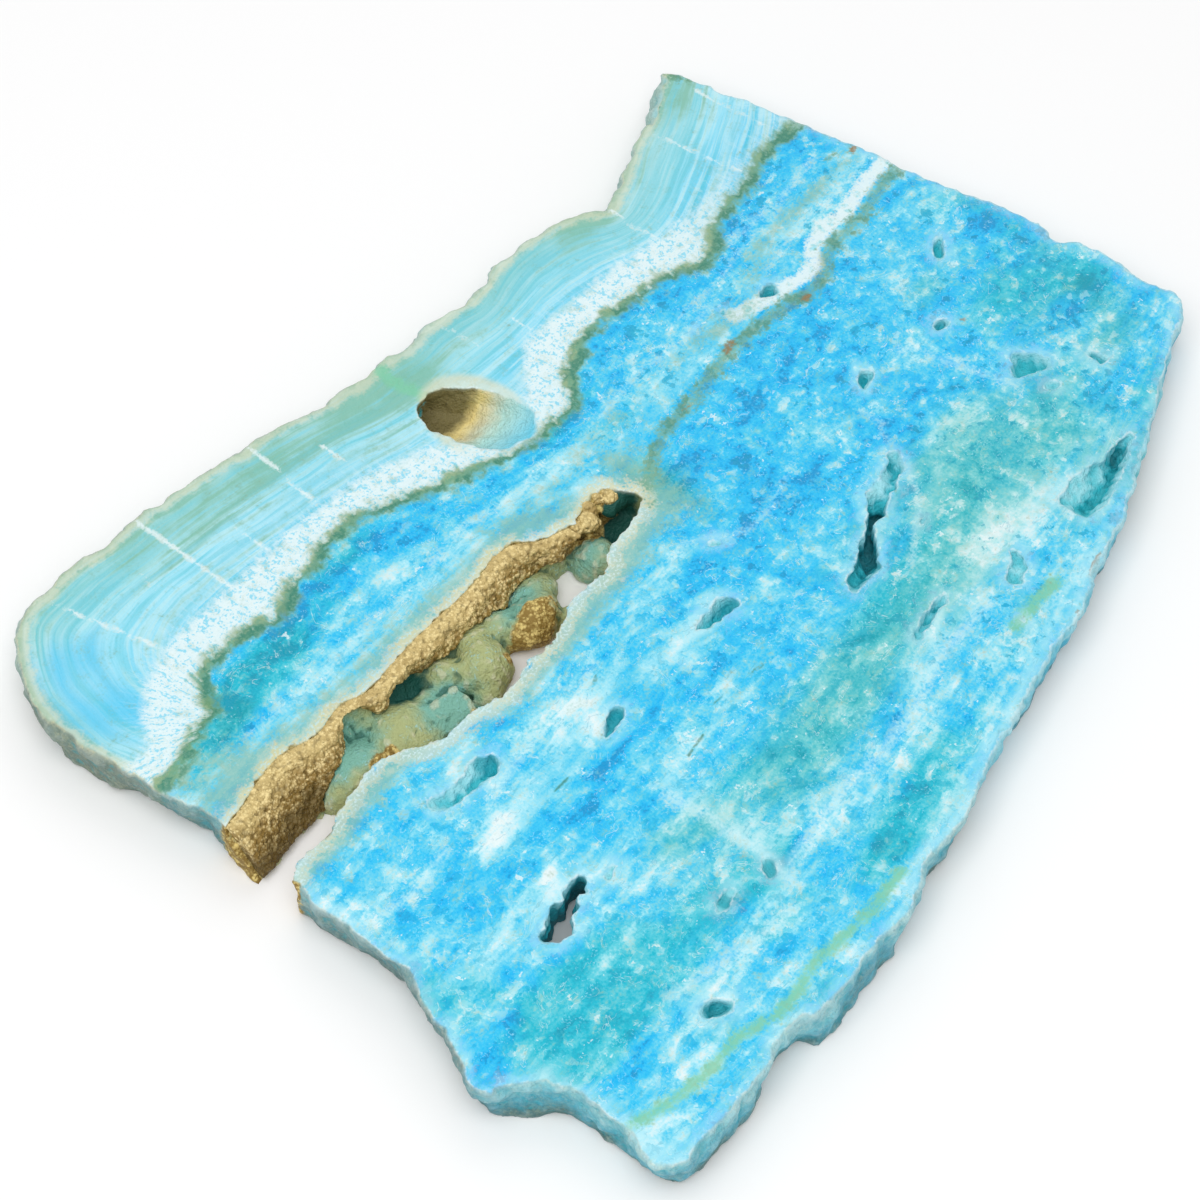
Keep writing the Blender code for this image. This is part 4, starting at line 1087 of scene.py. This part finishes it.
@dataclass(frozen=True)
class AragoniteFinish:
    """The stone: sky-blue matrix, pale growth bands, olive seams and green lumps."""

    abyss: Colour = (0.0, 0.30, 0.62)
    shade: Colour = (0.01, 0.31, 0.46)
    deep: Colour = (0.0, 0.44, 0.83)
    sky: Colour = (0.03, 0.53, 0.84)
    light: Colour = (0.14, 0.62, 0.82)
    pale: Colour = (0.36, 0.76, 0.87)
    white: Colour = (0.74, 0.86, 0.87)
    teal: Colour = (0.003, 0.46, 0.58)
    sea_green: Colour = (0.17, 0.57, 0.56)
    rim_green: Colour = (0.16, 0.44, 0.31)
    rim_aqua: Colour = (0.29, 0.63, 0.62)
    olive: Colour = (0.17, 0.30, 0.08)
    moss: Colour = (0.02, 0.20, 0.14)
    cream: Colour = (0.66, 0.66, 0.46)
    stripe: Colour = (0.19, 0.56, 0.36)
    rust: Colour = (0.30, 0.15, 0.04)
    mist: Colour = (0.22, 0.43, 0.31)
    lip_grey: Colour = (0.48, 0.58, 0.43)
    # Painted shade in the creases of the broken walls
    crease_shade: Colour = (0.0, 0.46, 0.56)
    # Darkest painted shade, at the bottom of the pits
    pit: Colour = (0.0, 0.19, 0.23)
    lump: Colour = (0.41, 0.46, 0.21)
    lump_teal: Colour = (0.20, 0.46, 0.37)
    # Painted shade in the long hollow's creases and deep parts
    hollow_shade: Colour = (0.01, 0.09, 0.07)
    gold_light: Colour = (0.80, 0.63, 0.23)
    gold_dark: Colour = (0.28, 0.18, 0.04)
    cave: Colour = (0.21, 0.175, 0.07)
    tan: Colour = (0.84, 0.68, 0.28)
    slope: Colour = (0.46, 0.76, 0.72)
    wall_pale: Colour = (0.15, 0.60, 0.72)
    wall_tan: Colour = (0.36, 0.45, 0.38)
    wall_teal: Colour = (0.0, 0.27, 0.36)
    wall_blue: Colour = (0.02, 0.43, 0.60)
    wall_dark: Colour = (0.01, 0.14, 0.16)
    # Painted shade on the wall at the slab's left end
    end_wall_shade: Colour = (0.08, 0.15, 0.14)

    def make(self) -> bpy.types.Material:
        """The stone's material."""
        material, graph, surface = fresh_material("aragonite")
        place = place_in_mm(graph)
        fine = graph.noise(place, 1.9, 2.0, 0.5)
        medium = graph.noise(place, 0.45, 3.0, 0.55)
        colour = self.matrix(graph, place, fine, medium)
        colour = self.growth_zone(graph, colour, place, fine, medium)
        colour = self.drawn_marks(graph, colour, fine, medium)
        colour = self.in_hollows(graph, colour, place, fine, medium)
        colour = self.on_walls(graph, colour, place, fine, medium)
        graph.feed(surface.inputs["Base Color"], colour)
        below = graph.total(
            graph.field("wall"), graph.field("pit"), graph.field("hollow"), graph.field("eye")
        )
        rough = graph.total(0.24, graph.scaled(below, 0.35), graph.centred(medium, 0.2))
        graph.feed(surface.inputs["Roughness"], rough)
        relief = graph.total(graph.scaled(medium, 0.65), graph.scaled(fine, 0.35))
        with_bump(graph, surface, relief, graph.total(0.4, graph.scaled(below, 0.6)), 1.2)
        surface.inputs["Specular IOR Level"].default_value = 0.3
        return material

    def matrix(
        self, graph: Graph, place: Value, fine: Value, medium: Value
    ) -> bpy.types.NodeSocket:
        """The mottled blue of the stone's body.

        Args:
            graph: the material's graph.
            place: coordinates in millimetres.
            fine: noise of about half a millimetre.
            medium: noise of about two millimetres.

        Returns:
            The colour.
        """
        split = graph.add("ShaderNodeSeparateXYZ")
        graph.feed(split.inputs[0], place)
        x, y, z = split.outputs
        level = graph.total(graph.field("level"), graph.centred(medium, 1.8))
        flat = graph.combined(graph.scaled(x, 0.16), graph.scaled(level, 0.75), 0.0)
        broad = graph.noise(
            graph.combined(graph.scaled(x, 0.03), graph.scaled(level, 0.13), 0.0), 1.0, 2.0, 0.5, 0.0, "2D"
        )
        drift = graph.noise(flat, 0.62, 3.0, 0.5, 0.0, "2D")
        cloud = graph.noise(place, 0.13, 4.0, 0.58, 0.7)
        grainy = graph.span(graph.total(x, graph.centred(cloud, 30.0)), -5.0, 30.0)
        haze = graph.total(graph.field("haze"), graph.centred(drift, 7.0), graph.centred(fine, 2.0))
        haze = graph.span(haze, -3.4, 2.4)
        streaks = graph.total(0.62, graph.scaled(grainy, -0.45))
        pebbles = graph.noise(place, 0.55, 2.0, 0.5)
        bent = graph.combined(
            graph.total(x, graph.centred(medium, 5.0), graph.centred(fine, 1.1)),
            graph.total(y, graph.centred(pebbles, 5.0), graph.centred(fine, -1.1)),
            z,
        )
        facet_edge, facet = graph.cells(bent, 0.44)
        mottling = graph.total(
            graph.centred(cloud, 1.15),
            graph.centred(medium, 0.65),
            graph.centred(fine, 0.5),
            graph.scaled(graph.centred(pebbles, 1.0), graph.total(0.3, graph.scaled(grainy, 0.5))),
            graph.centred(facet, 0.2),
            graph.scaled(graph.centred(drift, 1.0), streaks),
        )
        tone = graph.total(
            0.475,
            graph.centred(broad, 0.5),
            graph.scaled(mottling, graph.total(1.0, graph.scaled(haze, -0.45))),
            graph.scaled(graph.field("deep"), -0.27),
            graph.scaled(graph.field("teal"), -0.11),
            graph.scaled(graph.field("pale"), 0.4),
            graph.scaled(haze, 0.17),
            graph.scaled(grainy, -0.05),
        )
        colour = graph.ramp(
            tone,
            (
                (0.0, self.abyss), (0.12, self.deep), (0.33, self.sky), (0.52, self.light),
                (0.72, self.pale), (0.95, self.white),
            ),
        )
        teal = graph.total(
            graph.field("teal"), graph.centred(cloud, 1.6), graph.centred(broad, 0.7)
        )
        teal_tones = graph.ramp(
            tone,
            (
                (0.0, (0.0, 0.31, 0.42)), (0.3, self.teal), (0.55, (0.09, 0.58, 0.68)),
                (0.78, (0.36, 0.74, 0.80)), (0.98, self.white),
            ),
        )
        colour = graph.mix(graph.scaled(graph.span(teal, 0.1, 0.9), 0.9), colour, teal_tones)
        green = graph.total(
            graph.field("green"), graph.centred(drift, 0.7), graph.centred(cloud, -1.2)
        )
        green_tones = graph.ramp(
            tone,
            (
                (0.0, (0.0, 0.33, 0.36)), (0.28, (0.05, 0.46, 0.49)), (0.52, self.sea_green),
                (0.75, (0.43, 0.73, 0.71)), (0.98, self.white),
            ),
        )
        colour = graph.mix(graph.scaled(graph.span(green, 0.1, 1.1), 0.8), colour, green_tones)
        chip = graph.total(graph.centred(facet, 0.36), graph.centred(pebbles, 0.9), graph.centred(medium, 0.7))
        dark = graph.scaled(graph.span(chip, -0.235, -0.265), graph.total(0.2, graph.scaled(grainy, 0.3)))
        colour = graph.mix(dark, colour, self.shade)
        bright = graph.scaled(graph.span(chip, 0.215, 0.25), graph.total(0.14, graph.scaled(grainy, 0.08)))
        colour = graph.mix(bright, colour, self.white)
        rim = graph.math("ABSOLUTE", graph.total(chip, 0.2))
        rim = graph.scaled(graph.span(rim, 0.03, 0.008), graph.span(fine, 0.44, 0.6))
        colour = graph.mix(graph.scaled(rim, 0.45), colour, self.pale)
        ridge = graph.math("ABSOLUTE", graph.total(graph.centred(drift, 1.0), graph.centred(medium, 0.25), 0.03))
        line = graph.scaled(graph.span(ridge, 0.02, 0.005), graph.span(pebbles, 0.5, 0.56))
        colour = graph.mix(graph.scaled(line, 0.3), colour, self.shade)
        ridge = graph.math("ABSOLUTE", graph.centred(cloud, 1.0))
        hair = graph.scaled(graph.span(ridge, 0.006, 0.001), graph.span(medium, 0.45, 0.56))
        colour = graph.mix(graph.scaled(hair, 0.45), colour, self.white)
        glint = graph.total(
            graph.scaled(facet_edge, -1.0), graph.centred(fine, 0.8), graph.centred(facet, 0.5),
            graph.centred(cloud, 0.5),
        )
        small = graph.span(glint, 0.02, 0.14)
        return graph.mix(graph.scaled(small, 0.7), colour, self.white)

    def growth_zone(
        self, graph: Graph, matrix: Value, place: Value, fine: Value, medium: Value
    ) -> bpy.types.NodeSocket:
        """The banded rim, the white fibres under it and the olive line that ends them.

        Args:
            graph: the material's graph.
            matrix: the colour of the stone's body.
            place: coordinates in millimetres.
            fine: noise of about half a millimetre.
            medium: noise of about two millimetres.

        Returns:
            The colour.
        """
        growth = graph.field("growth")
        depth = graph.field("rim_depth")
        along = graph.field("along")
        sway = graph.centred(graph.noise(place, 0.045, 2.0), 3.0)
        across = graph.total(depth, sway, graph.centred(medium, 0.3))
        bands = graph.noise(
            graph.combined(graph.scaled(along, 0.012), graph.scaled(across, 0.3), 0.0), 1.0, 2.0, 0.5,
            0.0, "2D",
        )
        lines = graph.noise(
            graph.combined(graph.scaled(along, 0.05), graph.scaled(across, 1.0), 4.0), 1.0, 2.0, 0.6,
            0.0, "2D",
        )
        hue = graph.ramp(
            graph.total(growth, graph.centred(medium, 0.06), graph.centred(bands, 0.3)),
            (
                (0.0, self.rim_green), (0.06, self.rim_aqua), (0.17, (0.33, 0.68, 0.73)),
                (0.32, (0.33, 0.72, 0.81)), (0.5, (0.28, 0.71, 0.87)), (0.7, (0.14, 0.62, 0.86)),
                (1.0, self.sky),
            ),
        )
        banded = graph.mix(graph.scaled(graph.span(bands, 0.44, 0.62), 0.6), hue, (0.48, 0.79, 0.85))
        banded = graph.mix(graph.scaled(graph.span(lines, 0.48, 0.66), 0.6), banded, (0.52, 0.80, 0.84))
        banded = graph.mix(graph.scaled(graph.span(lines, 0.5, 0.32), 0.32), banded, self.teal)
        banded = graph.mix(graph.scaled(graph.span(bands, 0.5, 0.36), 0.3), banded, (0.07, 0.50, 0.58))
        green = graph.total(
            graph.field("rim"), graph.centred(bands, 2.2), graph.centred(lines, 1.6), graph.centred(medium, 0.5)
        )
        banded = graph.mix(graph.scaled(graph.span(green, 0.15, 1.1), 0.8), banded, self.rim_green)
        blue = graph.total(graph.field("deep"), graph.centred(bands, 1.6))
        banded = graph.mix(graph.scaled(graph.span(blue, 0.1, 1.1), 0.7), banded, self.sky)
        ragged = graph.total(graph.centred(medium, 3.0), graph.centred(fine, 1.5))
        skin = graph.span(graph.total(depth, ragged), 3.2, 1.4)
        banded = graph.mix(graph.scaled(skin, 0.6), banded, self.cream)
        grey = graph.scaled(graph.span(graph.total(depth, ragged), 1.8, 0.4), graph.span(medium, 0.42, 0.56))
        banded = graph.mix(graph.scaled(grey, 0.5), banded, self.mist)
        swayed = graph.total(along, graph.centred(medium, 2.4))
        needle = graph.noise(
            graph.combined(graph.scaled(swayed, 1.3), graph.scaled(across, 0.3), 0.0), 1.0, 2.0, 0.6,
            0.0, "2D",
        )
        white_side = graph.field("white_side")
        edge = graph.total(
            white_side, graph.centred(needle, 2.4), graph.centred(medium, 4.0), graph.centred(fine, 2.0)
        )
        fibres = graph.span(edge, 2.2, -0.9)
        rays = graph.scaled(graph.span(white_side, 7.0, 0.0), graph.span(needle, 0.5, 0.75))
        banded = graph.mix(graph.scaled(rays, 0.3), banded, self.white)
        mottle = graph.noise(
            graph.combined(graph.scaled(swayed, 0.8), graph.scaled(across, 0.5), 7.0), 1.0, 3.0, 0.6,
            0.0, "2D",
        )
        speckle = graph.total(graph.centred(mottle, 0.8), graph.centred(fine, 0.8))
        gaps = graph.scaled(graph.span(speckle, 0.0, -0.16), 0.75)
        fibre_hue = graph.mix(gaps, self.white, self.light)
        fading = graph.total(0.3, graph.scaled(graph.span(along, 80.0, 50.0), 0.62))
        banded = graph.mix(graph.scaled(fibres, fading), banded, fibre_hue)
        side = graph.total(
            graph.field("olive_side"), graph.centred(medium, 5.0), graph.centred(needle, 1.2)
        )
        colour = graph.mix(graph.span(side, -0.5, 0.5), matrix, banded)
        width = graph.total(graph.centred(graph.noise(place, 0.14, 2.0), 4.5), 0.7)
        gap = graph.math("SUBTRACT", graph.math("ABSOLUTE", graph.total(side, 0.3)), width)
        glow = graph.span(gap, 2.0, -0.5)
        colour = graph.mix(graph.scaled(glow, 0.8), colour, self.olive)
        core = graph.scaled(graph.span(gap, 0.8, -0.4), graph.span(medium, 0.42, 0.58))
        return graph.mix(graph.scaled(core, 0.85), colour, self.moss)

    def drawn_marks(
        self, graph: Graph, colour: Value, fine: Value, medium: Value
    ) -> bpy.types.NodeSocket:
        """Seams, veins, stripes, stains, and the painted glow round the hollows and the edges of the face.

        Args:
            graph: the material's graph.
            colour: the stone without them.
            fine: noise of about half a millimetre.
            medium: noise of about two millimetres.

        Returns:
            The colour with them.
        """
        ragged = graph.total(graph.centred(fine, 1.2), graph.centred(medium, 1.8))
        seam = graph.total(graph.field("seam"), graph.scaled(ragged, 1.0))
        colour = graph.mix(graph.scaled(graph.span(seam, -0.45, 0.2), 0.85), colour, self.white)
        streak = graph.span(graph.total(graph.field("streak"), graph.scaled(ragged, 2.4)), -1.0, 2.0)
        colour = graph.mix(graph.scaled(streak, 0.6), colour, (0.62, 0.86, 0.90))
        vein = graph.span(graph.total(graph.field("vein"), graph.scaled(ragged, 2.0)), -0.7, 0.7)
        crystalline = graph.mix(graph.span(medium, 0.56, 0.7), self.white, self.pale)
        colour = graph.mix(graph.scaled(vein, 0.9), colour, crystalline)
        stripe = graph.span(graph.total(graph.field("stripe"), graph.scaled(ragged, 1.7)), -0.7, 1.0)
        colour = graph.mix(graph.scaled(stripe, 0.85), colour, self.stripe)
        moss = graph.span(graph.total(graph.field("moss"), graph.scaled(ragged, 2.2)), -0.7, 1.2)
        colour = graph.mix(graph.scaled(moss, 0.6), colour, self.olive)
        knots = graph.scaled(moss, graph.span(medium, 0.5, 0.62))
        colour = graph.mix(graph.scaled(knots, 0.6), colour, self.moss)
        mist = graph.span(graph.total(graph.field("mist"), graph.scaled(ragged, 1.1)), 0.0, 1.0)
        colour = graph.mix(graph.scaled(mist, 0.65), colour, self.mist)
        rust = graph.span(graph.total(graph.field("brown"), graph.scaled(ragged, 0.7)), 0.3, 0.8)
        colour = graph.mix(graph.scaled(rust, 0.75), colour, self.rust)
        crack = graph.span(graph.total(graph.field("crack"), graph.scaled(ragged, 0.3)), -0.3, 0.1)
        colour = graph.mix(graph.scaled(crack, 0.8), colour, self.moss)
        sugary = graph.mix(graph.span(medium, 0.42, 0.62), self.lip_grey, self.cream)
        sugary = graph.mix(graph.scaled(graph.span(fine, 0.48, 0.62), 0.75), sugary, self.white)
        lip = graph.total(graph.field("near_lip"), graph.scaled(ragged, 4.0))
        band = graph.math("MINIMUM", graph.span(lip, 3.6, 1.8), graph.span(lip, -1.8, -0.6))
        colour = graph.mix(graph.scaled(band, 0.75), colour, sugary)
        far = graph.total(graph.field("far_lip"), graph.scaled(ragged, 4.0))
        band = graph.math("MINIMUM", graph.span(far, 2.6, 0.9), graph.span(far, -2.4, -0.6))
        colour = graph.mix(graph.scaled(band, 0.65), colour, sugary)
        fringe = graph.math("MINIMUM", graph.span(far, 1.4, -0.2), graph.span(far, -2.8, -0.6))
        colour = graph.mix(graph.scaled(fringe, 0.5), colour, self.gold_light)
        ring = graph.total(graph.field("eye_ring"), graph.scaled(ragged, 0.05))
        ring = graph.scaled(graph.span(ring, 1.22, 1.0), graph.span(graph.field("growth"), 0.95, 0.7))
        colour = graph.mix(graph.scaled(ring, 0.7), colour, self.cream)
        edge = graph.total(graph.field("edge"), graph.scaled(ragged, 0.5))
        warm = graph.total(graph.field("mist"), graph.field("rim"), graph.span(graph.field("rim_depth"), 5.0, 2.0))
        # Painted light: a pale glow just inside the edges of the polished face, weaker near the rim
        edge_glow = graph.span(graph.total(graph.field("edge"), graph.scaled(ragged, 3.6)), 2.6, 0.0)
        edge_glow = graph.scaled(edge_glow, graph.total(0.3, graph.scaled(graph.span(warm, 0.1, 0.6), -0.28)))
        colour = graph.mix(edge_glow, colour, (0.62, 0.86, 0.90))
        rimmed = graph.mix(graph.span(warm, 0.1, 0.6), self.white, self.cream)
        line = graph.scaled(graph.span(edge, 0.7, 0.35), graph.span(medium, 0.42, 0.58))
        return graph.mix(graph.scaled(line, 0.7), colour, rimmed)

    def in_hollows(
        self, graph: Graph, colour: Value, place: Value, fine: Value, medium: Value
    ) -> bpy.types.NodeSocket:
        """The colours of the pits, the long hollow and the eye, with painted shade in their depths and creases and
        painted highlights on the lumps' ridges.

        Args:
            graph: the material's graph.
            colour: the stone above them.
            place: coordinates in millimetres.
            fine: noise of about half a millimetre.
            medium: noise of about two millimetres.

        Returns:
            The colour with the hollows.
        """
        split = graph.add("ShaderNodeSeparateXYZ")
        graph.feed(split.inputs[0], place)
        x, y, z = split.outputs
        # Painted shade: the pits darken with depth and in creases, and darker still where the deep field lies
        depth = graph.total(z, graph.centred(medium, 1.4), graph.scaled(graph.field("crease"), -1.1))
        shaded_pit = graph.ramp(
            graph.math("MULTIPLY", graph.total(10.0, graph.scaled(depth, -1.0)), 0.16),
            (
                (0.0, self.pale), (0.06, (0.34, 0.76, 0.84)), (0.2, (0.29, 0.70, 0.77)),
                (0.34, (0.15, 0.61, 0.69)), (0.52, (0.02, 0.48, 0.56)), (0.74, (0.0, 0.30, 0.36)),
                (1.0, self.pit),
            ),
        )
        shaded_pit = graph.mix(
            graph.scaled(graph.span(graph.field("deep"), 0.5, 1.1), 0.8), shaded_pit, (0.0, 0.36, 0.44)
        )
        colour = graph.mix(graph.scaled(graph.field("pit"), 0.95), colour, shaded_pit)
        teal = graph.total(graph.field("teal"), graph.centred(medium, 0.7))
        lump = graph.mix(graph.span(teal, 0.0, 0.7), self.lump, self.lump_teal)
        frost = graph.scaled(graph.span(fine, 0.56, 0.7), graph.span(medium, 0.45, 0.6))
        lump = graph.mix(graph.scaled(frost, 0.45), lump, self.pale)
        # Painted highlight on the lumps' ridges, and painted shade in their creases and in the hollow's deep parts
        crease = graph.field("crease")
        lump = graph.mix(graph.scaled(graph.span(crease, -0.35, -0.9), 0.5), lump, self.cream)
        lump = graph.mix(graph.scaled(graph.span(crease, 0.3, 0.95), 0.7), lump, self.hollow_shade)
        dark = graph.total(graph.field("deep"), graph.centred(medium, 0.8))
        lump = graph.mix(graph.span(dark, 0.2, 0.8), lump, self.hollow_shade)
        colour = graph.mix(graph.field("hollow"), colour, lump)
        sugar = graph.add("ShaderNodeGroup", node_tree=SugarGrain().group())
        graph.feed(sugar.inputs["Place"], place)
        graph.feed(sugar.inputs["Light"], self.gold_light)
        graph.feed(sugar.inputs["Dark"], self.gold_dark)
        gold = graph.span(graph.total(graph.field("gold"), graph.centred(medium, 1.2)), 0.4, 0.65)
        behind = graph.scaled(graph.span(graph.field("far_lip"), -1.4, -0.9), graph.span(x, -4.0, -7.0))
        gold = graph.math("MAXIMUM", gold, behind)
        inside = graph.total(graph.field("hollow"), graph.scaled(graph.field("wall"), 0.6))
        colour = graph.mix(graph.scaled(gold, inside), colour, sugar.outputs["Colour"])
        back = graph.ramp(
            graph.scaled(graph.total(y, graph.centred(medium, 3.0), -38.0), 0.05),
            (
                (0.0, self.light), (0.36, self.slope), (0.55, self.cream), (0.67, self.tan),
                (0.78, self.cave), (1.0, self.cave),
            ),
        )
        return graph.mix(graph.field("eye"), colour, back)

    def on_walls(
        self, graph: Graph, colour: Value, place: Value, fine: Value, medium: Value
    ) -> bpy.types.NodeSocket:
        """The chalky and stained colours of the broken walls, with painted shade in their creases and on the left
        end and painted highlights on their ridges.

        Args:
            graph: the material's graph.
            colour: the stone behind them.
            place: coordinates in millimetres.
            fine: noise of about half a millimetre.
            medium: noise of about two millimetres.

        Returns:
            The colour with the walls.
        """
        split = graph.add("ShaderNodeSeparateXYZ")
        graph.feed(split.inputs[0], place)
        patches = graph.noise(place, 0.12, 3.0)
        layer = graph.total(split.outputs[2], graph.centred(patches, 14.0), graph.centred(medium, 5.0))
        banks = graph.ramp(
            graph.scaled(layer, 0.1),
            (
                (0.0, self.wall_dark), (0.2, self.wall_teal), (0.46, self.wall_blue),
                (0.76, self.wall_pale), (1.0, (0.33, 0.70, 0.78)),
            ),
        )
        skin = graph.total(graph.field("rim_depth"), graph.centred(patches, 8.0))
        banks = graph.mix(graph.scaled(graph.span(skin, 4.0, 1.0), 0.65), banks, self.wall_tan)
        # Painted shade: the wall at the left end is darker grey
        end = graph.total(split.outputs[0], graph.scaled(layer, 0.5))
        end = graph.math("MULTIPLY", graph.span(end, -84.0, -90.0), graph.span(split.outputs[1], -44.0, -32.0))
        banks = graph.mix(graph.scaled(end, 0.75), banks, self.end_wall_shade)
        chalk = graph.span(graph.total(medium, graph.centred(fine, 0.4)), 0.36, 0.7)
        wall = graph.mix(graph.total(graph.scaled(chalk, 0.2), 0.75), colour, banks)
        # Painted shade in the walls' creases and a painted highlight on their ridges
        crease = graph.field("crease")
        wall = graph.mix(graph.scaled(graph.span(crease, 0.0, 1.0), 0.5), wall, self.crease_shade)
        wall = graph.mix(graph.scaled(graph.span(crease, -0.2, -1.0), 0.15), wall, self.white)
        return graph.mix(graph.scaled(graph.field("wall"), 0.9), colour, wall)


@dataclass(frozen=True)
class CrustFinish:
    """The honey-coloured sugary crystals, with a painted lighter top and painted shade low down and between the
    crystals.
    """

    light: Colour = (0.95, 0.76, 0.37)
    dark: Colour = (0.31, 0.195, 0.05)
    # Painted highlight on the crust's upper part
    lip: Colour = (0.88, 0.71, 0.32)
    # Painted shade low on the crust and between its crystals
    gap: Colour = (0.10, 0.065, 0.015)

    def make(self) -> bpy.types.Material:
        """The crust's material."""
        material, graph, surface = fresh_material("honey_crust")
        place = place_in_mm(graph)
        sugar = graph.add("ShaderNodeGroup", node_tree=SugarGrain().group())
        graph.feed(sugar.inputs["Place"], place)
        graph.feed(sugar.inputs["Light"], self.light)
        graph.feed(sugar.inputs["Dark"], self.dark)
        split = graph.add("ShaderNodeSeparateXYZ")
        graph.feed(split.inputs[0], place)
        x, _, z = split.outputs
        # Painted highlight: the crust is lighter towards its top
        patch = graph.noise(place, 0.2, 3.0)
        high = graph.span(graph.total(z, graph.centred(patch, 6.0)), 7.0, 10.5)
        colour = graph.mix(graph.scaled(high, 0.5), sugar.outputs["Colour"], self.lip)
        # Painted shade: darker in the crust's hollows and lower down, at its lower left end, and between the
        # crystals
        wave = graph.total(graph.field("wave"), graph.centred(patch, 3.0))
        shaded = graph.scaled(graph.span(wave, 0.1, -1.0), graph.span(z, 9.0, 6.0))
        colour = graph.mix(graph.scaled(shaded, 0.6), colour, self.gap)
        low = graph.scaled(graph.span(x, -62.0, -70.0), graph.span(z, 8.0, 3.0))
        colour = graph.mix(graph.scaled(low, 0.85), colour, self.gap)
        gaps = graph.span(graph.field("bump"), 0.5, 0.15)
        colour = graph.mix(graph.scaled(gaps, 0.5), colour, self.gap)
        graph.feed(surface.inputs["Base Color"], colour)
        surface.inputs["Roughness"].default_value = 0.5
        surface.inputs["Specular IOR Level"].default_value = 0.25
        with_bump(graph, surface, sugar.outputs["Height"], 0.9, 0.4)
        return material


@dataclass
class Studio:
    """Floor, soft light and camera."""

    camera_place: tuple[float, float, float] = (-0.27972, -0.21091, 0.4915)
    camera_target: tuple[float, float, float] = (-0.01229, 0.00568, 0.0)
    field_of_view: float = 20.0
    floor_side: float = 6.0
    sky_light: float = 0.55

    def build(self) -> None:
        """Sets the stage."""
        self.lay_floor()
        self.light_sky()
        self.hang_light("key", (-0.35, -0.15, 0.9), 0.9, 6.0)
        self.hang_light("fill", (0.7, 0.5, 0.8), 1.0, 2.5)
        self.set_camera()

    def lay_floor(self) -> None:
        """Lays a plain pale floor under the slab."""
        bm = bmesh.new()
        bmesh.ops.create_grid(bm, x_segments=1, y_segments=1, size=self.floor_side / 2)
        mesh = bpy.data.meshes.new("floor")
        bm.to_mesh(mesh)
        bm.free()
        floor = bpy.data.objects.new("floor", mesh)
        bpy.context.scene.collection.objects.link(floor)
        material, _, surface = fresh_material("floor")
        surface.inputs["Base Color"].default_value = (0.92, 0.92, 0.92, 1.0)
        surface.inputs["Roughness"].default_value = 0.9
        surface.inputs["Specular IOR Level"].default_value = 0.1
        mesh.materials.append(material)

    def light_sky(self) -> None:
        """Surrounds the scene with even white light."""
        world = bpy.data.worlds.new("studio")
        world.use_nodes = True
        background = world.node_tree.nodes["Background"]
        background.inputs["Color"].default_value = (1.0, 1.0, 1.0, 1.0)
        background.inputs["Strength"].default_value = self.sky_light
        bpy.context.scene.world = world

    def hang_light(
        self, name: str, place: tuple[float, float, float], side: float, watts: float
    ) -> None:
        """Hangs a square softbox that faces the slab.

        Args:
            name: the light's name.
            place: its middle, in metres.
            side: the length of one side.
            watts: its power.
        """
        light = bpy.data.lights.new(name, "AREA")
        light.shape = "SQUARE"
        light.size = side
        light.energy = watts
        lamp = bpy.data.objects.new(name, light)
        lamp.location = place
        lamp.rotation_euler = (-Vector(place)).to_track_quat("-Z", "Y").to_euler()
        bpy.context.scene.collection.objects.link(lamp)

    def set_camera(self) -> None:
        """Puts the camera where the photograph was taken from."""
        lens = bpy.data.cameras.new("camera")
        lens.sensor_width = 36.0
        lens.lens = 18.0 / math.tan(math.radians(self.field_of_view / 2))
        camera = bpy.data.objects.new("camera", lens)
        place = Vector(self.camera_place)
        camera.location = place
        view = Vector(self.camera_target) - place
        camera.rotation_euler = view.to_track_quat("-Z", "Y").to_euler()
        bpy.context.scene.collection.objects.link(camera)
        bpy.context.scene.camera = camera


def main() -> None:
    """Builds the pieces in order and reports each."""
    logging.basicConfig(level=logging.INFO, format="%(message)s")
    for piece in (
        SlabSkin().build(AragoniteFinish().make()),
        CrustSkin().build(CrustFinish().make()),
    ):
        LOG.info("%s: %d points", piece.name, len(piece.data.vertices))
    Studio().build()
    bpy.context.scene.view_settings.view_transform = "Standard"


if __name__ == "__main__":
    main()
